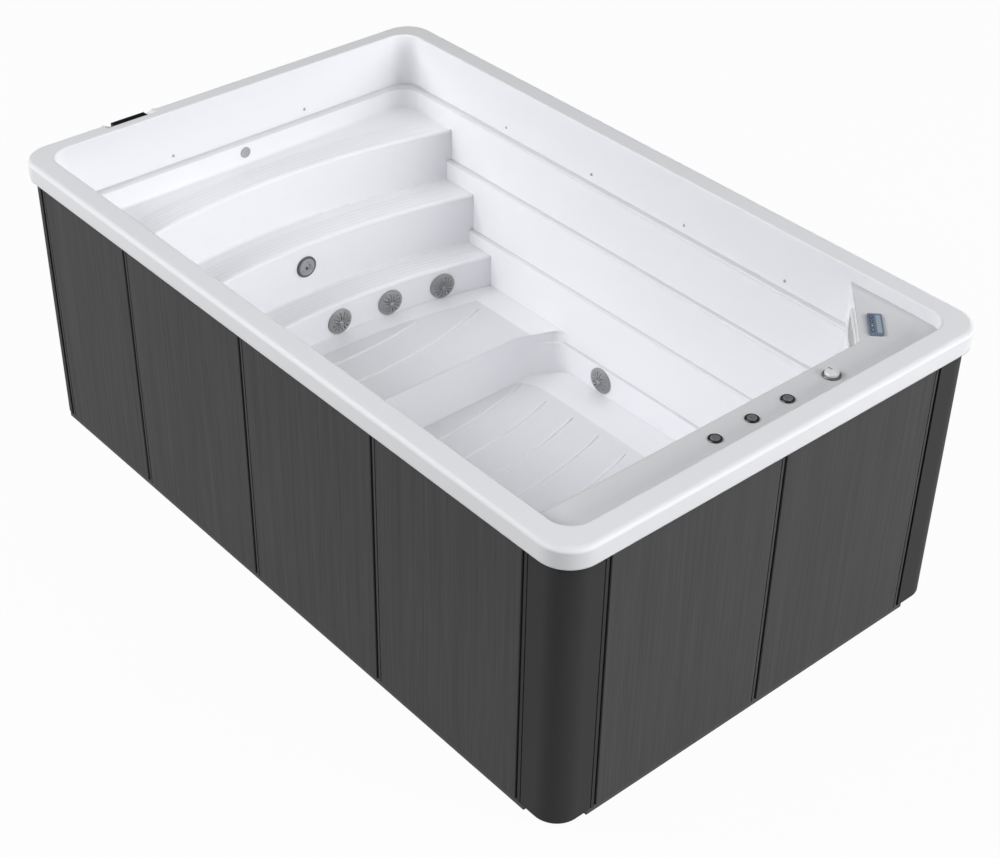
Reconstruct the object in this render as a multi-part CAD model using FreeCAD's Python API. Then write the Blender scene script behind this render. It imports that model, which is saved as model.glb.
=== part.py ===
import FreeCAD, Part
import math
import os

from FreeCAD import Placement, Rotation, Vector

# Overall size: length along X (steps at -X, console at +X), width along Y, height along Z
LENGTH = 3800.0
WIDTH = 2360.0
HEIGHT = 1460.0
HALF_L = LENGTH / 2
HALF_W = WIDTH / 2

# Moulded shell: rim, lip and wall
SHELL_WALL = 8.0
LIP_HEIGHT = 94.0
RIM_SIDE = 108.0
RIM_CONSOLE = 110.0
RIM_STEP = 90.0
RIM_CORNER_R = 145.0
RIM_INNER_R = 105.0
RIM_EDGE_R = 22.0
RIM_MOUTH_R = 7.0
LIP_Z = HEIGHT - LIP_HEIGHT
POOL_STEP_X = RIM_STEP - HALF_L
POOL_CONSOLE_X = HALF_L - RIM_CONSOLE
POOL_HALF_W = HALF_W - RIM_SIDE

# The pool's levels are whole steps of this height
LEVEL = HEIGHT / 292

# Horizontal ledges in the pool wall: level, width and bevel of the pool-side edge
WALL_LEDGES = ((236 * LEVEL, 34.0, 9.0), (178 * LEVEL, 27.0, 8.0), (114 * LEVEL, 21.0, 7.0),
               (50 * LEVEL, 12.0, 4.0))

# Steps: tread level and the X of the nosing on the centre line, each nosing a concave arc
TREADS = ((212 * LEVEL, POOL_STEP_X + 260.0), (155 * LEVEL, POOL_STEP_X + 482.0),
          (98 * LEVEL, POOL_STEP_X + 660.0))
NOSING_ARC_R = 3600.0
TREAD_EDGE_R = 14.0

# Two floors with a leaning drop between them; each has a level pad and a border that rises from it
UPPER_FLOOR_Z = 59 * LEVEL
LOWER_FLOOR_Z = 16 * LEVEL
DROP_TOP_X = POOL_STEP_X + 1255.0
DROP_FOOT_X = DROP_TOP_X + 72.0
DROP_RETURN_X = 102.0
DROP_RETURN_Y = 202.0
DROP_BEND_R = 240.0
DROP_WALL_R = 90.0
PAD_BEND_R = 60.0
PAD_WALL_R = 240.0
FLOOR_CORNER_R = 100.0
UPPER_BORDER = 155.0
LOWER_BORDER = 213.0
RISER_BORDER = 100.0
BORDER_RISE = 14.0
PAD_RETURN_Y = 41.0

# Console ledge at the +X end with a diagonal filter corner at +Y
CONSOLE_Z = HEIGHT - 65.0
CONSOLE_X = POOL_CONSOLE_X - 200.0
CORNER_CUT = POOL_CONSOLE_X + POOL_HALF_W - 532.0

# Anti-slip ribs on both pads: arcs across the pool
RIB_PITCH = 194.0
RIB_WIDTH = 9.0
RIB_HEIGHT = 4.0
RIB_ARC_R = 2500.0
RIB_INSET = 40.0
LOWER_RIB_X = DROP_FOOT_X + 130.0
LOWER_RIB_END = CONSOLE_X - LOWER_BORDER - RIB_INSET
LOWER_RIB_COUNT = 1 + int((LOWER_RIB_END - LOWER_RIB_X) // RIB_PITCH)
UPPER_RIB_X = TREADS[2][1] + 194.0
UPPER_RIB_COUNT = 2

# Notch in the step-end rim and the black insert that lies in it
NOTCH_Y = -580.0
NOTCH_LENGTH = 278.0
NOTCH_RAMP = 44.0
NOTCH_DEPTH = 24.0
NOTCH_REACH = 46.0
INSERT_LENGTH = 184.0
INSERT_WIDTH = 42.0
INSERT_HEIGHT = 20.0
INSERT_SLOTS = 5

# Cabinet; the last panel of a long side is narrower than the others
SKIRT_INSET = 30.0
PANEL_THICKNESS = 25.0
PANEL_TOP_Z = HEIGHT - 60.0
PANEL_GAP = 13.0
PANEL_BEVEL = 3.0
PANEL_LINE_WIDTH = 5.0
PANEL_LINE_DEPTH = 5.0
PANEL_LINE_OFFSET = 15.0
CONSOLE_POST_LEG = 226.0
STEP_POST_LEG = 116.0
END_POST_LEG = 220.0
SKIRT_CORNER_R = 115.0
STEP_CORNER_R = 105.0
LAST_PANEL_SHARE = 0.7924
SKIRT_X = HALF_L - SKIRT_INSET
SKIRT_Y = HALF_W - SKIRT_INSET
INNER_X = SKIRT_X - PANEL_THICKNESS
INNER_Y = SKIRT_Y - PANEL_THICKNESS
PANEL_PITCH = (2 * SKIRT_X - CONSOLE_POST_LEG - STEP_POST_LEG) / (3 + LAST_PANEL_SHARE)

# Base and frame
BASE_RAIL_HEIGHT = 30.0
BASE_RAIL_WIDTH = 60.0
BASE_RAIL_INSET = 6.0
BASE_RAIL_OVERRUN = 40.0
TRAY_THICKNESS = 12.0
UPRIGHT_WIDTH = 60.0
UPRIGHT_DEPTH = 38.0
STEP_UPRIGHT_DEPTH = 22.0
TUBE_WALL = 3.0
RING_HEIGHT = 40.0
RING_GAP = 3.0
BEARER_WIDTH = 60.0
BEARER_INSET = 172.0

# Bearers under the floors and treads
LOWER_BEARER_X = DROP_FOOT_X + 153.0
LOWER_BEARER_PITCH = 430.0
LOWER_BEARER_END = 150.0
LOWER_BEARER_COUNT = 1 + int((CONSOLE_X - LOWER_BEARER_END - LOWER_BEARER_X) // LOWER_BEARER_PITCH)
UPPER_BEARERS = (DROP_TOP_X - 145.0, DROP_TOP_X - 395.0)
STEP_BEARERS = (TREADS[0][1] - 130.0, TREADS[1][1] - 152.0)

# Suction fittings: three on the lowest riser and one low on the far wall
SUCTION_YS = (90.0, 400.0, 710.0)
SUCTION_Z = UPPER_FLOOR_Z + 90.0
WALL_SUCTION_X = DROP_FOOT_X + 353.0
WALL_SUCTION_Z = LOWER_FLOOR_Z + 88.0
SUCTION_COVER_R = 71.0
SUCTION_COVER_H = 20.0
SUCTION_COVER_WALL = 3.0
SUCTION_SLOTS = 14
SUCTION_SLOT_W = 5.0
SUCTION_FLANGE_R = 48.0
SUCTION_FLANGE_T = 4.0
SUCTION_BARREL_R = 30.0
SUCTION_BARREL_L = 88.0
SUCTION_WALL = 5.0
SUCTION_BOSS_R = 8.0
SUCTION_BOSS_L = 14.0
SUCTION_NUT_R = 44.0
SUCTION_NUT_T = 14.0
SCREW_R = 3.0

# Massage jet on the second riser
JET_Y = 25.0
JET_Z = TREADS[2][0] + 160.0
JET_FLANGE_R = 58.0
JET_FLANGE_T = 8.0
JET_FACE_R = 46.0
JET_BARREL_R = 38.0
JET_BORE_R = 33.0
JET_DEPTH = 80.0
JET_NOZZLE_R = 9.0
JET_SEAT = 0.25

# Small fitting on the step-end wall and the light points above the highest ledge
SMALL_FITTING_R = 29.0
SMALL_FITTING_L = 40.0
SMALL_FITTING_STEM_R = 14.5
SMALL_FITTING_Z = TREADS[0][0] + 62.0
LIGHT_R = 8.0
LIGHT_L = 22.0
LIGHT_STEM_R = 4.8
LIGHT_Z = WALL_LEDGES[0][0] + 42.0
LIGHT_PITCH = LENGTH / 6
LIGHT_X = -0.264 * LENGTH
LIGHT_END_Y = 397.0

# Swim jets on the console wall
SWIM_JET_PITCH = POOL_HALF_W - 552.0
SWIM_JET_Z = 180 * LEVEL
SWIM_FLANGE_R = 105.0
SWIM_FLANGE_T = 10.0
SWIM_BARREL_R = 62.0
SWIM_DEPTH = 110.0
SWIM_BALL_R = 48.0
SWIM_BALL_SINK = 14.0
SWIM_CHANNEL_R = 36.0
SWIM_BOSS_L = 75.0

# Controls on the console ledge
CONTROL_X = CONSOLE_X + 87.0
AIR_PITCH = 205.0
AIR_R = 30.0
AIR_T = 6.0
AIR_CAP_R = 20.5
AIR_CAP_H = 9.0
AIR_STEM_R = 6.0
AIR_DEPTH = 45.0
AIR_BARREL_R = 19.0
DIVERTER_Y = 465.0
DIVERTER_R = 40.0
DIVERTER_T = 8.0
DIVERTER_CAP_R = 31.0
DIVERTER_CAP_H = 22.0
DIVERTER_STEM_R = 8.0
DIVERTER_DEPTH = 55.0
DIVERTER_BARREL_R = 25.0
CONTROL_SEAT = 0.35
CONTROL_BORE = 0.7

# Filter corner: u runs along its diagonal edge and v away from the pool
CORNER_U = (CONSOLE_X - POOL_HALF_W) / math.sqrt(2)
CORNER_V = CORNER_CUT / math.sqrt(2)

# Control panel on the filter corner
PANEL_U = CORNER_U + 108.0
PANEL_V = CORNER_V + 74.0
PANEL_L = 160.0
PANEL_W = 62.0
PANEL_H = 10.0
PANEL_R = 9.0
SCREEN_L = 132.0
SCREEN_W = 21.0
SCREEN_T = 2.0
SCREEN_V = 13.0
KEY_L = 23.0
KEY_W = 14.0
KEY_V = -15.0
KEY_DEEP = 6.0
KEY_TRAVEL = 1.2
KEY_PITCH = 34.0
KEY_COUNT = 4

# Skimmer and filter behind the diagonal face
SKIMMER_U = CORNER_U + 49.0
SKIMMER_Z = CONSOLE_Z - 105.0
MOUTH_L = 220.0
MOUTH_H = 96.0
MOUTH_R = 16.0
FACE_BORDER = 32.0
FACE_T = 10.0
WEIR_T = 5.0
WEIR_GAP = 2.0
WEIR_PIN_R = 1.8
WEIR_PIN_L = 6.0
HOUSING_L = 246.0
HOUSING_D = 164.0
HOUSING_LOW = -170.0
HOUSING_HIGH = 80.0
HOUSING_WALL = 5.0
FILTER_R = 44.0
FILTER_CAP = 10.0
FILTER_PLEATS = 22
FILTER_BACK_GAP = 2.0
FILTER_TOP_GAP = 10.0

# Pumps, pipes and equipment box behind the console wall
PIPE_R = 23.0
PIPE_WALL = 2.0
BEND_R = 60.0
LINE_Y = POOL_HALF_W - 27.0
LINE_DROP = 110.0
PRESSURE_X = CONSOLE_X + 55.0
DISCHARGE_Z = 265.0
PUMP_X = CONSOLE_X + 113.0
PUMP_Z = 150.0
PUMP_NECK = 40.0
PUMP_VOLUTE_L = 80.0
PUMP_INLET_Y = SWIM_JET_PITCH - PUMP_NECK - PUMP_VOLUTE_L / 2
PUMP_VOLUTE_R = 92.0
PUMP_MOTOR_R = 76.0
PUMP_LENGTH = 440.0
PUMP_WALL = 8.0
PUMP_RIBS = 20
PUMP_RIB_H = 6.0
PUMP_RIB_W = 5.4
PUMP_RIB_END = 20.0
PUMP_FEET = (190.0, 380.0)
PUMP_FOOT_W = 110.0
PUMP_FOOT_L = 40.0
PUMP_SHAFT_R = 10.0
IMPELLER_GAP = 6.0
IMPELLER_T = 40.0
IMPELLER_R = 72.0
IMPELLER_VANES = 6
VANE_T = 3.0
ROTOR_CORE_L = 190.0
BOX_DEPTH = 150.0
BOX_LENGTH = 380.0
BOX_HEIGHT = 300.0
BOX_Y = 40.0
BOX_Z = 440.0
BOX_EDGE_R = 12.0
BOX_SEAM = 3.0

# Clearances and the distance within which two places count as the same
FIT = 0.3
SHAFT_CLEARANCE = 0.05
HOLE_CLEARANCE = 1.0
TOUCH = 0.1

os.makedirs("parts", exist_ok=True)


def save(shape, name):
    """Write one piece, or a group of separate like pieces, as one node."""
    shape.exportStep("parts/" + name + ".step")


def group(shapes):
    return shapes[0] if len(shapes) == 1 else Part.Compound(shapes)


def box(x0, x1, y0, y1, z0, z1):
    return Part.makeBox(x1 - x0, y1 - y0, z1 - z0, Vector(x0, y0, z0))


def rounded_edges(points, z):
    """Edges of a closed outline: straight runs with a tangent arc at each corner of radius r > 0.

    points holds (x, y, r) counter-clockwise.
    """
    starts = []
    ends = []
    arcs = []
    count = len(points)
    for i, (x, y, r) in enumerate(points):
        here = Vector(x, y, z)
        before = Vector(points[i - 1][0], points[i - 1][1], z) - here
        after = Vector(points[(i + 1) % count][0], points[(i + 1) % count][1], z) - here
        before.normalize()
        after.normalize()
        if r <= 0:
            starts.append(here)
            ends.append(here)
            arcs.append(None)
            continue
        half = before.getAngle(after) / 2
        run = r / math.tan(half)
        middle = before + after
        middle.normalize()
        start = here + before * run
        end = here + after * run
        arcs.append(Part.Arc(start, here + middle * (r / math.sin(half) - r), end).toShape())
        starts.append(start)
        ends.append(end)
    edges = []
    for i in range(count):
        if arcs[i] is not None:
            edges.append(arcs[i])
        following = starts[(i + 1) % count]
        edges.append(Part.LineSegment(ends[i], following).toShape())
    return edges


def outline(points, z):
    return Part.Wire(rounded_edges(points, z))


def prism(points, z0, z1):
    return Part.Face(outline(points, z0)).extrude(Vector(0, 0, z1 - z0))


def rectangle(x0, x1, half_y, r):
    return [(x0, -half_y, r), (x1, -half_y, r), (x1, half_y, r), (x0, half_y, r)]


def nosing_x(centre_x, y, grow=0.0):
    """X of a step nosing at y: an arc concave towards the pool, centred on the centre line."""
    radius = NOSING_ARC_R + grow
    return centre_x + NOSING_ARC_R - math.sqrt(radius * radius - y * y)


def side_inset(z, bevelled=False, from_below=False):
    """How far the pool wall has stepped in at height z; at a ledge, above it or just below it."""
    inset = 0.0
    for height, width, bevel in WALL_LEDGES:
        if z < height or (from_below and z == height):
            inset += width
            if bevelled:
                inset -= max(z - height + bevel, 0.0)
    return inset


def drop_x(z):
    """X of the drop between the two floors at height z: leaning, and upright above the upper pad."""
    share = min((z - LOWER_FLOOR_Z) / (UPPER_FLOOR_Z - LOWER_FLOOR_Z), 1.0)
    return DROP_FOOT_X + share * (DROP_TOP_X - DROP_FOOT_X)


def console_points(half, grow, radius):
    """Outline of the console end, from the near wall round to the far wall."""
    x = CONSOLE_X + grow
    cut = CORNER_CUT + grow * math.sqrt(2)
    return [(x, -half, radius), (x, cut - x, 0), (cut - half, half, 0)]


def riser_outline(centre_x, half, grow, ends, z):
    """Outline whose step end is a riser's arc; ends continue it from the near wall to the far wall."""
    x = nosing_x(centre_x, half, grow)
    edges = rounded_edges([(x, -half, 0)] + ends + [(x, half, 0)], z)
    arc = Part.Arc(Vector(x, half, z), Vector(centre_x - grow, 0, z), Vector(x, -half, z))
    edges[-1] = arc.toShape()
    return Part.Wire(edges)


def lower_outline(level, half, grow, border, z):
    """Outline of the lower pool at a level: the drop, its two returns and the console end.

    A border moves the walls in to the edge of the level pad.
    """
    x = drop_x(level) - grow
    wall = half - border
    return_y = PAD_RETURN_Y if border else DROP_RETURN_Y
    radius = FLOOR_CORNER_R if border else FLOOR_CORNER_R + grow
    bend = PAD_BEND_R if border else DROP_BEND_R + grow
    side = PAD_WALL_R if border else DROP_WALL_R + grow
    points = [(x, wall - return_y, bend), (x, return_y - wall, bend), (x + DROP_RETURN_X, -wall, side)]
    points += console_points(wall, grow - border, radius)
    return outline(points + [(x + DROP_RETURN_X, wall, side)], z)


def tier(z0, z1, grow):
    """One horizontal slice of the pool volume between two levels."""
    middle = (z0 + z1) / 2
    bevelled = not grow
    insets = (side_inset(z0, bevelled), side_inset(z1, bevelled, True))
    wires = []
    for level, inset, z in zip((z0, z1), insets, (z0 - grow, z1)):
        half = POOL_HALF_W - inset + grow
        ends = console_points(half, grow, FLOOR_CORNER_R + grow)
        if middle > CONSOLE_Z:
            plan = rectangle(POOL_STEP_X - grow, POOL_CONSOLE_X + grow, half, RIM_INNER_R + grow)
            wires.append(outline(plan, z))
        elif middle > TREADS[0][0]:
            x = POOL_STEP_X + inset - grow
            radius = RIM_INNER_R + grow
            wires.append(outline([(x, -half, radius)] + ends + [(x, half, radius)], z))
        elif middle < UPPER_FLOOR_Z + BORDER_RISE:
            wires.append(lower_outline(level, half, grow, 0.0, z))
        else:
            centre_x = [x for height, x in TREADS if height > middle][-1]
            wires.append(riser_outline(centre_x, half, grow, ends, z))
    if insets[0] == insets[1] and middle > UPPER_FLOOR_Z:
        return Part.Face(wires[0]).extrude(Vector(0, 0, z1 - z0 + grow))
    return Part.makeLoft(wires, True, True)


def upper_pan(grow):
    """Dish of the upper floor: a level pad and a border that rises to the riser and the walls."""
    half = POOL_HALF_W - side_inset(UPPER_FLOOR_Z) + grow
    front = DROP_TOP_X + 2 * DROP_RETURN_X
    wires = []
    for rise, back, border in ((BORDER_RISE, 0.0, 0.0), (0.0, RISER_BORDER, UPPER_BORDER)):
        wall = half - border
        ends = [(front, -wall, 0), (front, wall, 0)]
        wires.append(riser_outline(TREADS[2][1] + back, wall, grow, ends, UPPER_FLOOR_Z + rise - grow))
    return Part.makeLoft(wires, True, True)


def lower_pan(grow):
    """Dish of the lower floor: a level pad from the foot of the drop, and a border to the walls."""
    half = POOL_HALF_W - side_inset(LOWER_FLOOR_Z) + grow
    wires = []
    for rise, border in ((BORDER_RISE, 0.0), (0.0, LOWER_BORDER)):
        level = LOWER_FLOOR_Z + rise
        wires.append(lower_outline(level, half, grow, border, level - grow))
    return Part.makeLoft(wires, True, True)


def pool_volume(grow):
    """The whole pool as one solid; grow moves its walls, treads and floors out, without bevels."""
    levels = {HEIGHT, CONSOLE_Z, UPPER_FLOOR_Z + BORDER_RISE, UPPER_FLOOR_Z, LOWER_FLOOR_Z + BORDER_RISE}
    levels.update(ledge[0] for ledge in WALL_LEDGES)
    levels.update(height for height, _ in TREADS)
    if not grow:
        levels.update(height - bevel for height, _, bevel in WALL_LEDGES)
    ordered = sorted(levels, reverse=True)
    slices = [tier(low, high, grow) for high, low in zip(ordered, ordered[1:])]
    return slices[0].fuse(slices[1:] + [upper_pan(grow), lower_pan(grow)]).removeSplitter()


def tread_edges(shape):
    """The long front and back edges of the treads."""
    found = []
    for edge in shape.Edges:
        bounds = edge.BoundBox
        if bounds.ZLength > TOUCH or bounds.YLength < POOL_HALF_W:
            continue
        middle = edge.valueAt((edge.FirstParameter + edge.LastParameter) / 2)
        if any(abs(middle.z - z) < TOUCH and middle.x < x + TOUCH for z, x in TREADS):
            found.append(edge)
    return found


def rib_half_span(x, z):
    """Half length of a rib: to the sides of its pad, or to the back edge of the upper pad."""
    half = POOL_HALF_W - side_inset(z) - RIB_INSET
    if z < UPPER_FLOOR_Z:
        return half - LOWER_BORDER
    bow = 0.5 / RIB_ARC_R + 0.5 / NOSING_ARC_R
    to_back = math.sqrt((x - TREADS[2][1] - RISER_BORDER) / bow) - RIB_INSET
    return min(half - UPPER_BORDER, to_back)


def floor_ribs():
    """Raised arcs across both pads, bowed towards the console."""
    rows = [(UPPER_RIB_X + i * RIB_PITCH, UPPER_FLOOR_Z) for i in range(UPPER_RIB_COUNT)]
    rows += [(LOWER_RIB_X + i * RIB_PITCH, LOWER_FLOOR_Z) for i in range(LOWER_RIB_COUNT)]
    ribs = []
    for x, z in rows:
        swing = math.asin(rib_half_span(x, z) / RIB_ARC_R)
        low = Vector(x - RIB_ARC_R, 0, z - SHELL_WALL / 2)
        arcs = []
        ends = []
        for radius in (RIB_ARC_R - RIB_WIDTH / 2, RIB_ARC_R + RIB_WIDTH / 2):
            turn = [Vector(math.cos(t), math.sin(t), 0) for t in (-swing, 0, swing)]
            a, b, c = (low + way * radius for way in turn)
            arcs.append(Part.Arc(a, b, c).toShape())
            ends.append((a, c))
        sides = [Part.LineSegment(ends[0][k], ends[1][k]).toShape() for k in (0, 1)]
        wire = Part.Wire(Part.__sortEdges__(arcs + sides))
        ribs.append(Part.Face(wire).extrude(Vector(0, 0, SHELL_WALL / 2 + RIB_HEIGHT)))
    return ribs


def notch_prism(grow):
    """The notch in the step-end rim, with ramped ends; grow adds the wall that lines it."""
    half = NOTCH_LENGTH / 2 + grow
    top = HEIGHT
    low = HEIGHT - NOTCH_DEPTH - grow
    x = -HALF_L + (grow if grow else -1)
    corners = [(-half, top), (-half + NOTCH_RAMP, low), (half - NOTCH_RAMP, low), (half, top)]
    points = [Vector(x, NOTCH_Y + y, z) for y, z in corners]
    face = Part.Face(Part.makePolygon(points + points[:1]))
    return face.extrude(Vector(-HALF_L + NOTCH_REACH + grow - x, 0, 0))


def rim_solid():
    """Flat rim with a rounded outer edge and a lip that turns down over the cabinet."""
    outer = prism(rectangle(-HALF_L, HALF_L, HALF_W, RIM_CORNER_R), LIP_Z, HEIGHT)
    top_edges = [e for e in outer.Edges if e.BoundBox.ZMin > HEIGHT - TOUCH]
    outer = outer.makeFillet(RIM_EDGE_R, top_edges)
    under_x = HALF_L - SHELL_WALL
    under = rectangle(-under_x, under_x, HALF_W - SHELL_WALL, RIM_CORNER_R - SHELL_WALL)
    return outer.cut(prism(under, LIP_Z, HEIGHT - SHELL_WALL))


def acrylic_shell(holes):
    """The moulded pool: rim, walls with ledges, steps, floors, console ledge and filter corner."""
    pool = pool_volume(0.0)
    pool = pool.makeFillet(TREAD_EDGE_R, tread_edges(pool))
    shell = rim_solid().fuse([pool_volume(SHELL_WALL), notch_prism(SHELL_WALL)]).cut(pool)
    mouth = Part.makeBox(POOL_CONSOLE_X - POOL_STEP_X, 2 * POOL_HALF_W, TOUCH,
                         Vector(POOL_STEP_X, -POOL_HALF_W, HEIGHT - TOUCH)).BoundBox
    mouth.enlarge(TOUCH)
    shell = shell.makeFillet(RIM_MOUTH_R, [e for e in shell.Edges if mouth.isInside(e.BoundBox)])
    shell = shell.fuse(floor_ribs()).cut([notch_prism(0.0)] + holes)
    return shell.removeSplitter().Solids[0]


def rim_insert():
    """Black louvred insert that lies on the floor of the rim notch."""
    x0 = -HALF_L + (NOTCH_REACH - INSERT_WIDTH) / 2
    z0 = HEIGHT - NOTCH_DEPTH
    half = INSERT_LENGTH / 2
    body = box(x0, x0 + INSERT_WIDTH, NOTCH_Y - half, NOTCH_Y + half, z0, z0 + INSERT_HEIGHT)
    pitch = INSERT_WIDTH / (INSERT_SLOTS + 1)
    slots = []
    for i in range(INSERT_SLOTS):
        x = x0 + (i + 1) * pitch
        reach = half - pitch
        slots.append(box(x - pitch / 4, x + pitch / 4, NOTCH_Y - reach, NOTCH_Y + reach,
                         z0 + INSERT_HEIGHT / 2, z0 + INSERT_HEIGHT))
    return body.cut(slots)


# Cabinet panels, posts, base and frame

LONG_JOINTS = [SKIRT_X - CONSOLE_POST_LEG - i * PANEL_PITCH for i in range(4)]
LONG_JOINTS.append(STEP_POST_LEG - SKIRT_X)
END_JOINTS = [SKIRT_Y - END_POST_LEG, 0.0, END_POST_LEG - SKIRT_Y]


def panel(width):
    """Wall panel with its back on y = 0, bevelled edges and a fine line beside one edge."""
    w = width - PANEL_GAP
    t = PANEL_THICKNESS
    b = PANEL_BEVEL
    line = PANEL_LINE_OFFSET + PANEL_LINE_WIDTH
    floor = t - PANEL_LINE_DEPTH
    plan = [(0, 0), (w, 0), (w, t - b), (w - b, t), (line, t), (line, floor),
            (PANEL_LINE_OFFSET, floor), (PANEL_LINE_OFFSET, t), (b, t), (0, t - b)]
    return prism([(x - w / 2, y, 0) for x, y in plan], BASE_RAIL_HEIGHT, PANEL_TOP_Z)


def place_panels():
    """Four panels on each long side and two on each end, between the joints."""
    for i, (right, left) in enumerate(zip(LONG_JOINTS, LONG_JOINTS[1:])):
        piece = panel(right - left)
        piece.translate(Vector((right + left) / 2, INNER_Y, 0))
        save(piece, "far_panel_%d" % (i + 1))
        save(piece.mirror(Vector(0, 0, 0), Vector(0, 1, 0)), "near_panel_%d" % (i + 1))
    for i, (high, low) in enumerate(zip(END_JOINTS, END_JOINTS[1:])):
        piece = panel(high - low)
        piece.rotate(Vector(0, 0, 0), Vector(0, 0, 1), -90)
        piece.translate(Vector(INNER_X, (high + low) / 2, 0))
        save(piece, "console_end_panel_%d" % (i + 1))
        save(piece.mirror(Vector(0, 0, 0), Vector(1, 0, 0)), "step_end_panel_%d" % (i + 1))


def corner_post(leg_x, r, long_line, end_line):
    """Quarter-round post for the +X +Y corner with two flat legs, each with or without a fine line."""
    x = SKIRT_X
    y = SKIRT_Y
    t = PANEL_THICKNESS
    end_x = x - leg_x + PANEL_GAP / 2
    end_y = y - END_POST_LEG + PANEL_GAP / 2
    near = PANEL_LINE_OFFSET
    past = PANEL_LINE_OFFSET + PANEL_LINE_WIDTH
    deep = PANEL_LINE_DEPTH
    on_end = [(0, near), (deep, near), (deep, past), (0, past)] if end_line else []
    on_long = [(past, 0), (past, deep), (near, deep), (near, 0)] if long_line else []
    plan = [(x, end_y, 0)] + [(x - d, end_y + along, 0) for d, along in on_end] + [(x, y, r)]
    plan += [(end_x + along, y - d, 0) for along, d in on_long] + [(end_x, y, 0)]
    plan += [(end_x, y - t, 0), (x - t, y - t, r - t), (x - t, end_y, 0)]
    return prism(plan, BASE_RAIL_HEIGHT, PANEL_TOP_Z)


def place_posts():
    across_x = Vector(1, 0, 0)
    across_y = Vector(0, 1, 0)
    centre = Vector(0, 0, 0)
    save(corner_post(CONSOLE_POST_LEG, SKIRT_CORNER_R, True, False), "corner_post_console_far")
    near = corner_post(CONSOLE_POST_LEG, SKIRT_CORNER_R, True, True).mirror(centre, across_y)
    save(near, "corner_post_console_near")
    step = corner_post(STEP_POST_LEG, STEP_CORNER_R, False, False).mirror(centre, across_x)
    save(step, "corner_post_step_far")
    save(step.mirror(centre, across_y), "corner_post_step_near")


def base_rails():
    """Rails under the panel runs; the part stands on them."""
    y = SKIRT_Y - BASE_RAIL_INSET
    x = SKIRT_X - BASE_RAIL_INSET
    x0 = LONG_JOINTS[-1] - BASE_RAIL_OVERRUN
    x1 = LONG_JOINTS[0] + BASE_RAIL_OVERRUN
    far = box(x0, x1, y - BASE_RAIL_WIDTH, y, 0, BASE_RAIL_HEIGHT)
    end_y = END_JOINTS[0] + BASE_RAIL_OVERRUN
    end = box(x - BASE_RAIL_WIDTH, x, -end_y, end_y, 0, BASE_RAIL_HEIGHT)
    near = far.mirror(Vector(0, 0, 0), Vector(0, 1, 0))
    return [far, near, end, end.mirror(Vector(0, 0, 0), Vector(1, 0, 0))]


def tube_upright(x0, x1, y0, y1):
    top = HEIGHT - SHELL_WALL - RING_HEIGHT
    w = TUBE_WALL
    outer = box(x0, x1, y0, y1, BASE_RAIL_HEIGHT, top)
    return outer.cut(box(x0 + w, x1 - w, y0 + w, y1 - w, BASE_RAIL_HEIGHT, top))


def frame_uprights_long():
    half = UPRIGHT_WIDTH / 2
    places = LONG_JOINTS[:-1] + [LONG_JOINTS[-1] + half]
    far = [tube_upright(x - half, x + half, INNER_Y - UPRIGHT_DEPTH, INNER_Y) for x in places]
    return far + [piece.mirror(Vector(0, 0, 0), Vector(0, 1, 0)) for piece in far]


def frame_uprights_end():
    half = UPRIGHT_WIDTH / 2
    console = [tube_upright(INNER_X - UPRIGHT_DEPTH, INNER_X, y - half, y + half) for y in END_JOINTS]
    step = [tube_upright(-INNER_X, STEP_UPRIGHT_DEPTH - INNER_X, y - half, y + half) for y in END_JOINTS]
    return console + step


def frame_top_ring():
    """Ring that carries the underside of the rim on top of the uprights."""
    gap = SHELL_WALL + RING_GAP
    z1 = HEIGHT - SHELL_WALL
    around = rectangle(-INNER_X, INNER_X, INNER_Y, SKIRT_CORNER_R - PANEL_THICKNESS)
    outer = prism(around, z1 - RING_HEIGHT, z1)
    inner = rectangle(POOL_STEP_X - gap, POOL_CONSOLE_X + gap, POOL_HALF_W + gap, RIM_INNER_R + gap)
    return outer.cut(prism(inner, z1 - RING_HEIGHT, z1))


def base_tray():
    x = SKIRT_X - BASE_RAIL_INSET - BASE_RAIL_WIDTH
    y = SKIRT_Y - BASE_RAIL_INSET - BASE_RAIL_WIDTH
    return box(-x, x, -y, y, 0, TRAY_THICKNESS)


def bearers():
    """Cross bearers under the lower floor and boards under the upper floor and two treads."""
    lower_xs = [LOWER_BEARER_X + i * LOWER_BEARER_PITCH for i in range(LOWER_BEARER_COUNT)]
    places = [(x, LOWER_FLOOR_Z) for x in lower_xs]
    places += [(x, UPPER_FLOOR_Z) for x in UPPER_BEARERS]
    places += [(STEP_BEARERS[i], TREADS[i][0]) for i in range(len(STEP_BEARERS))]
    half = BEARER_WIDTH / 2
    reach = POOL_HALF_W - BEARER_INSET
    return [box(x - half, x + half, -reach, reach, TRAY_THICKNESS, z - SHELL_WALL) for x, z in places]


# Round fittings: each is turned about its own axis, with z = 0 on the surface that its flange meets

def turned(profile):
    """Solid of revolution about Z from a closed (radius, height) outline."""
    points = [Vector(r, 0, z) for r, z in profile]
    return Part.Face(Part.makePolygon(points + points[:1])).revolve(Vector(0, 0, 0), Vector(0, 0, 1), 360)


def seated(shape, seat):
    """Copy of a fitting moved to a seat, given as (point, outward direction)."""
    point, direction = seat
    placed = shape.copy()
    placed.Placement = Placement(point, Rotation(Vector(0, 0, 1), direction))
    return placed


def hole(radius, seat):
    """Round hole through the shell at a seat."""
    depth = SHELL_WALL * 3
    return seated(Part.makeCylinder(radius + HOLE_CLEARANCE, depth, Vector(0, 0, -depth * 0.6)), seat)


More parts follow.
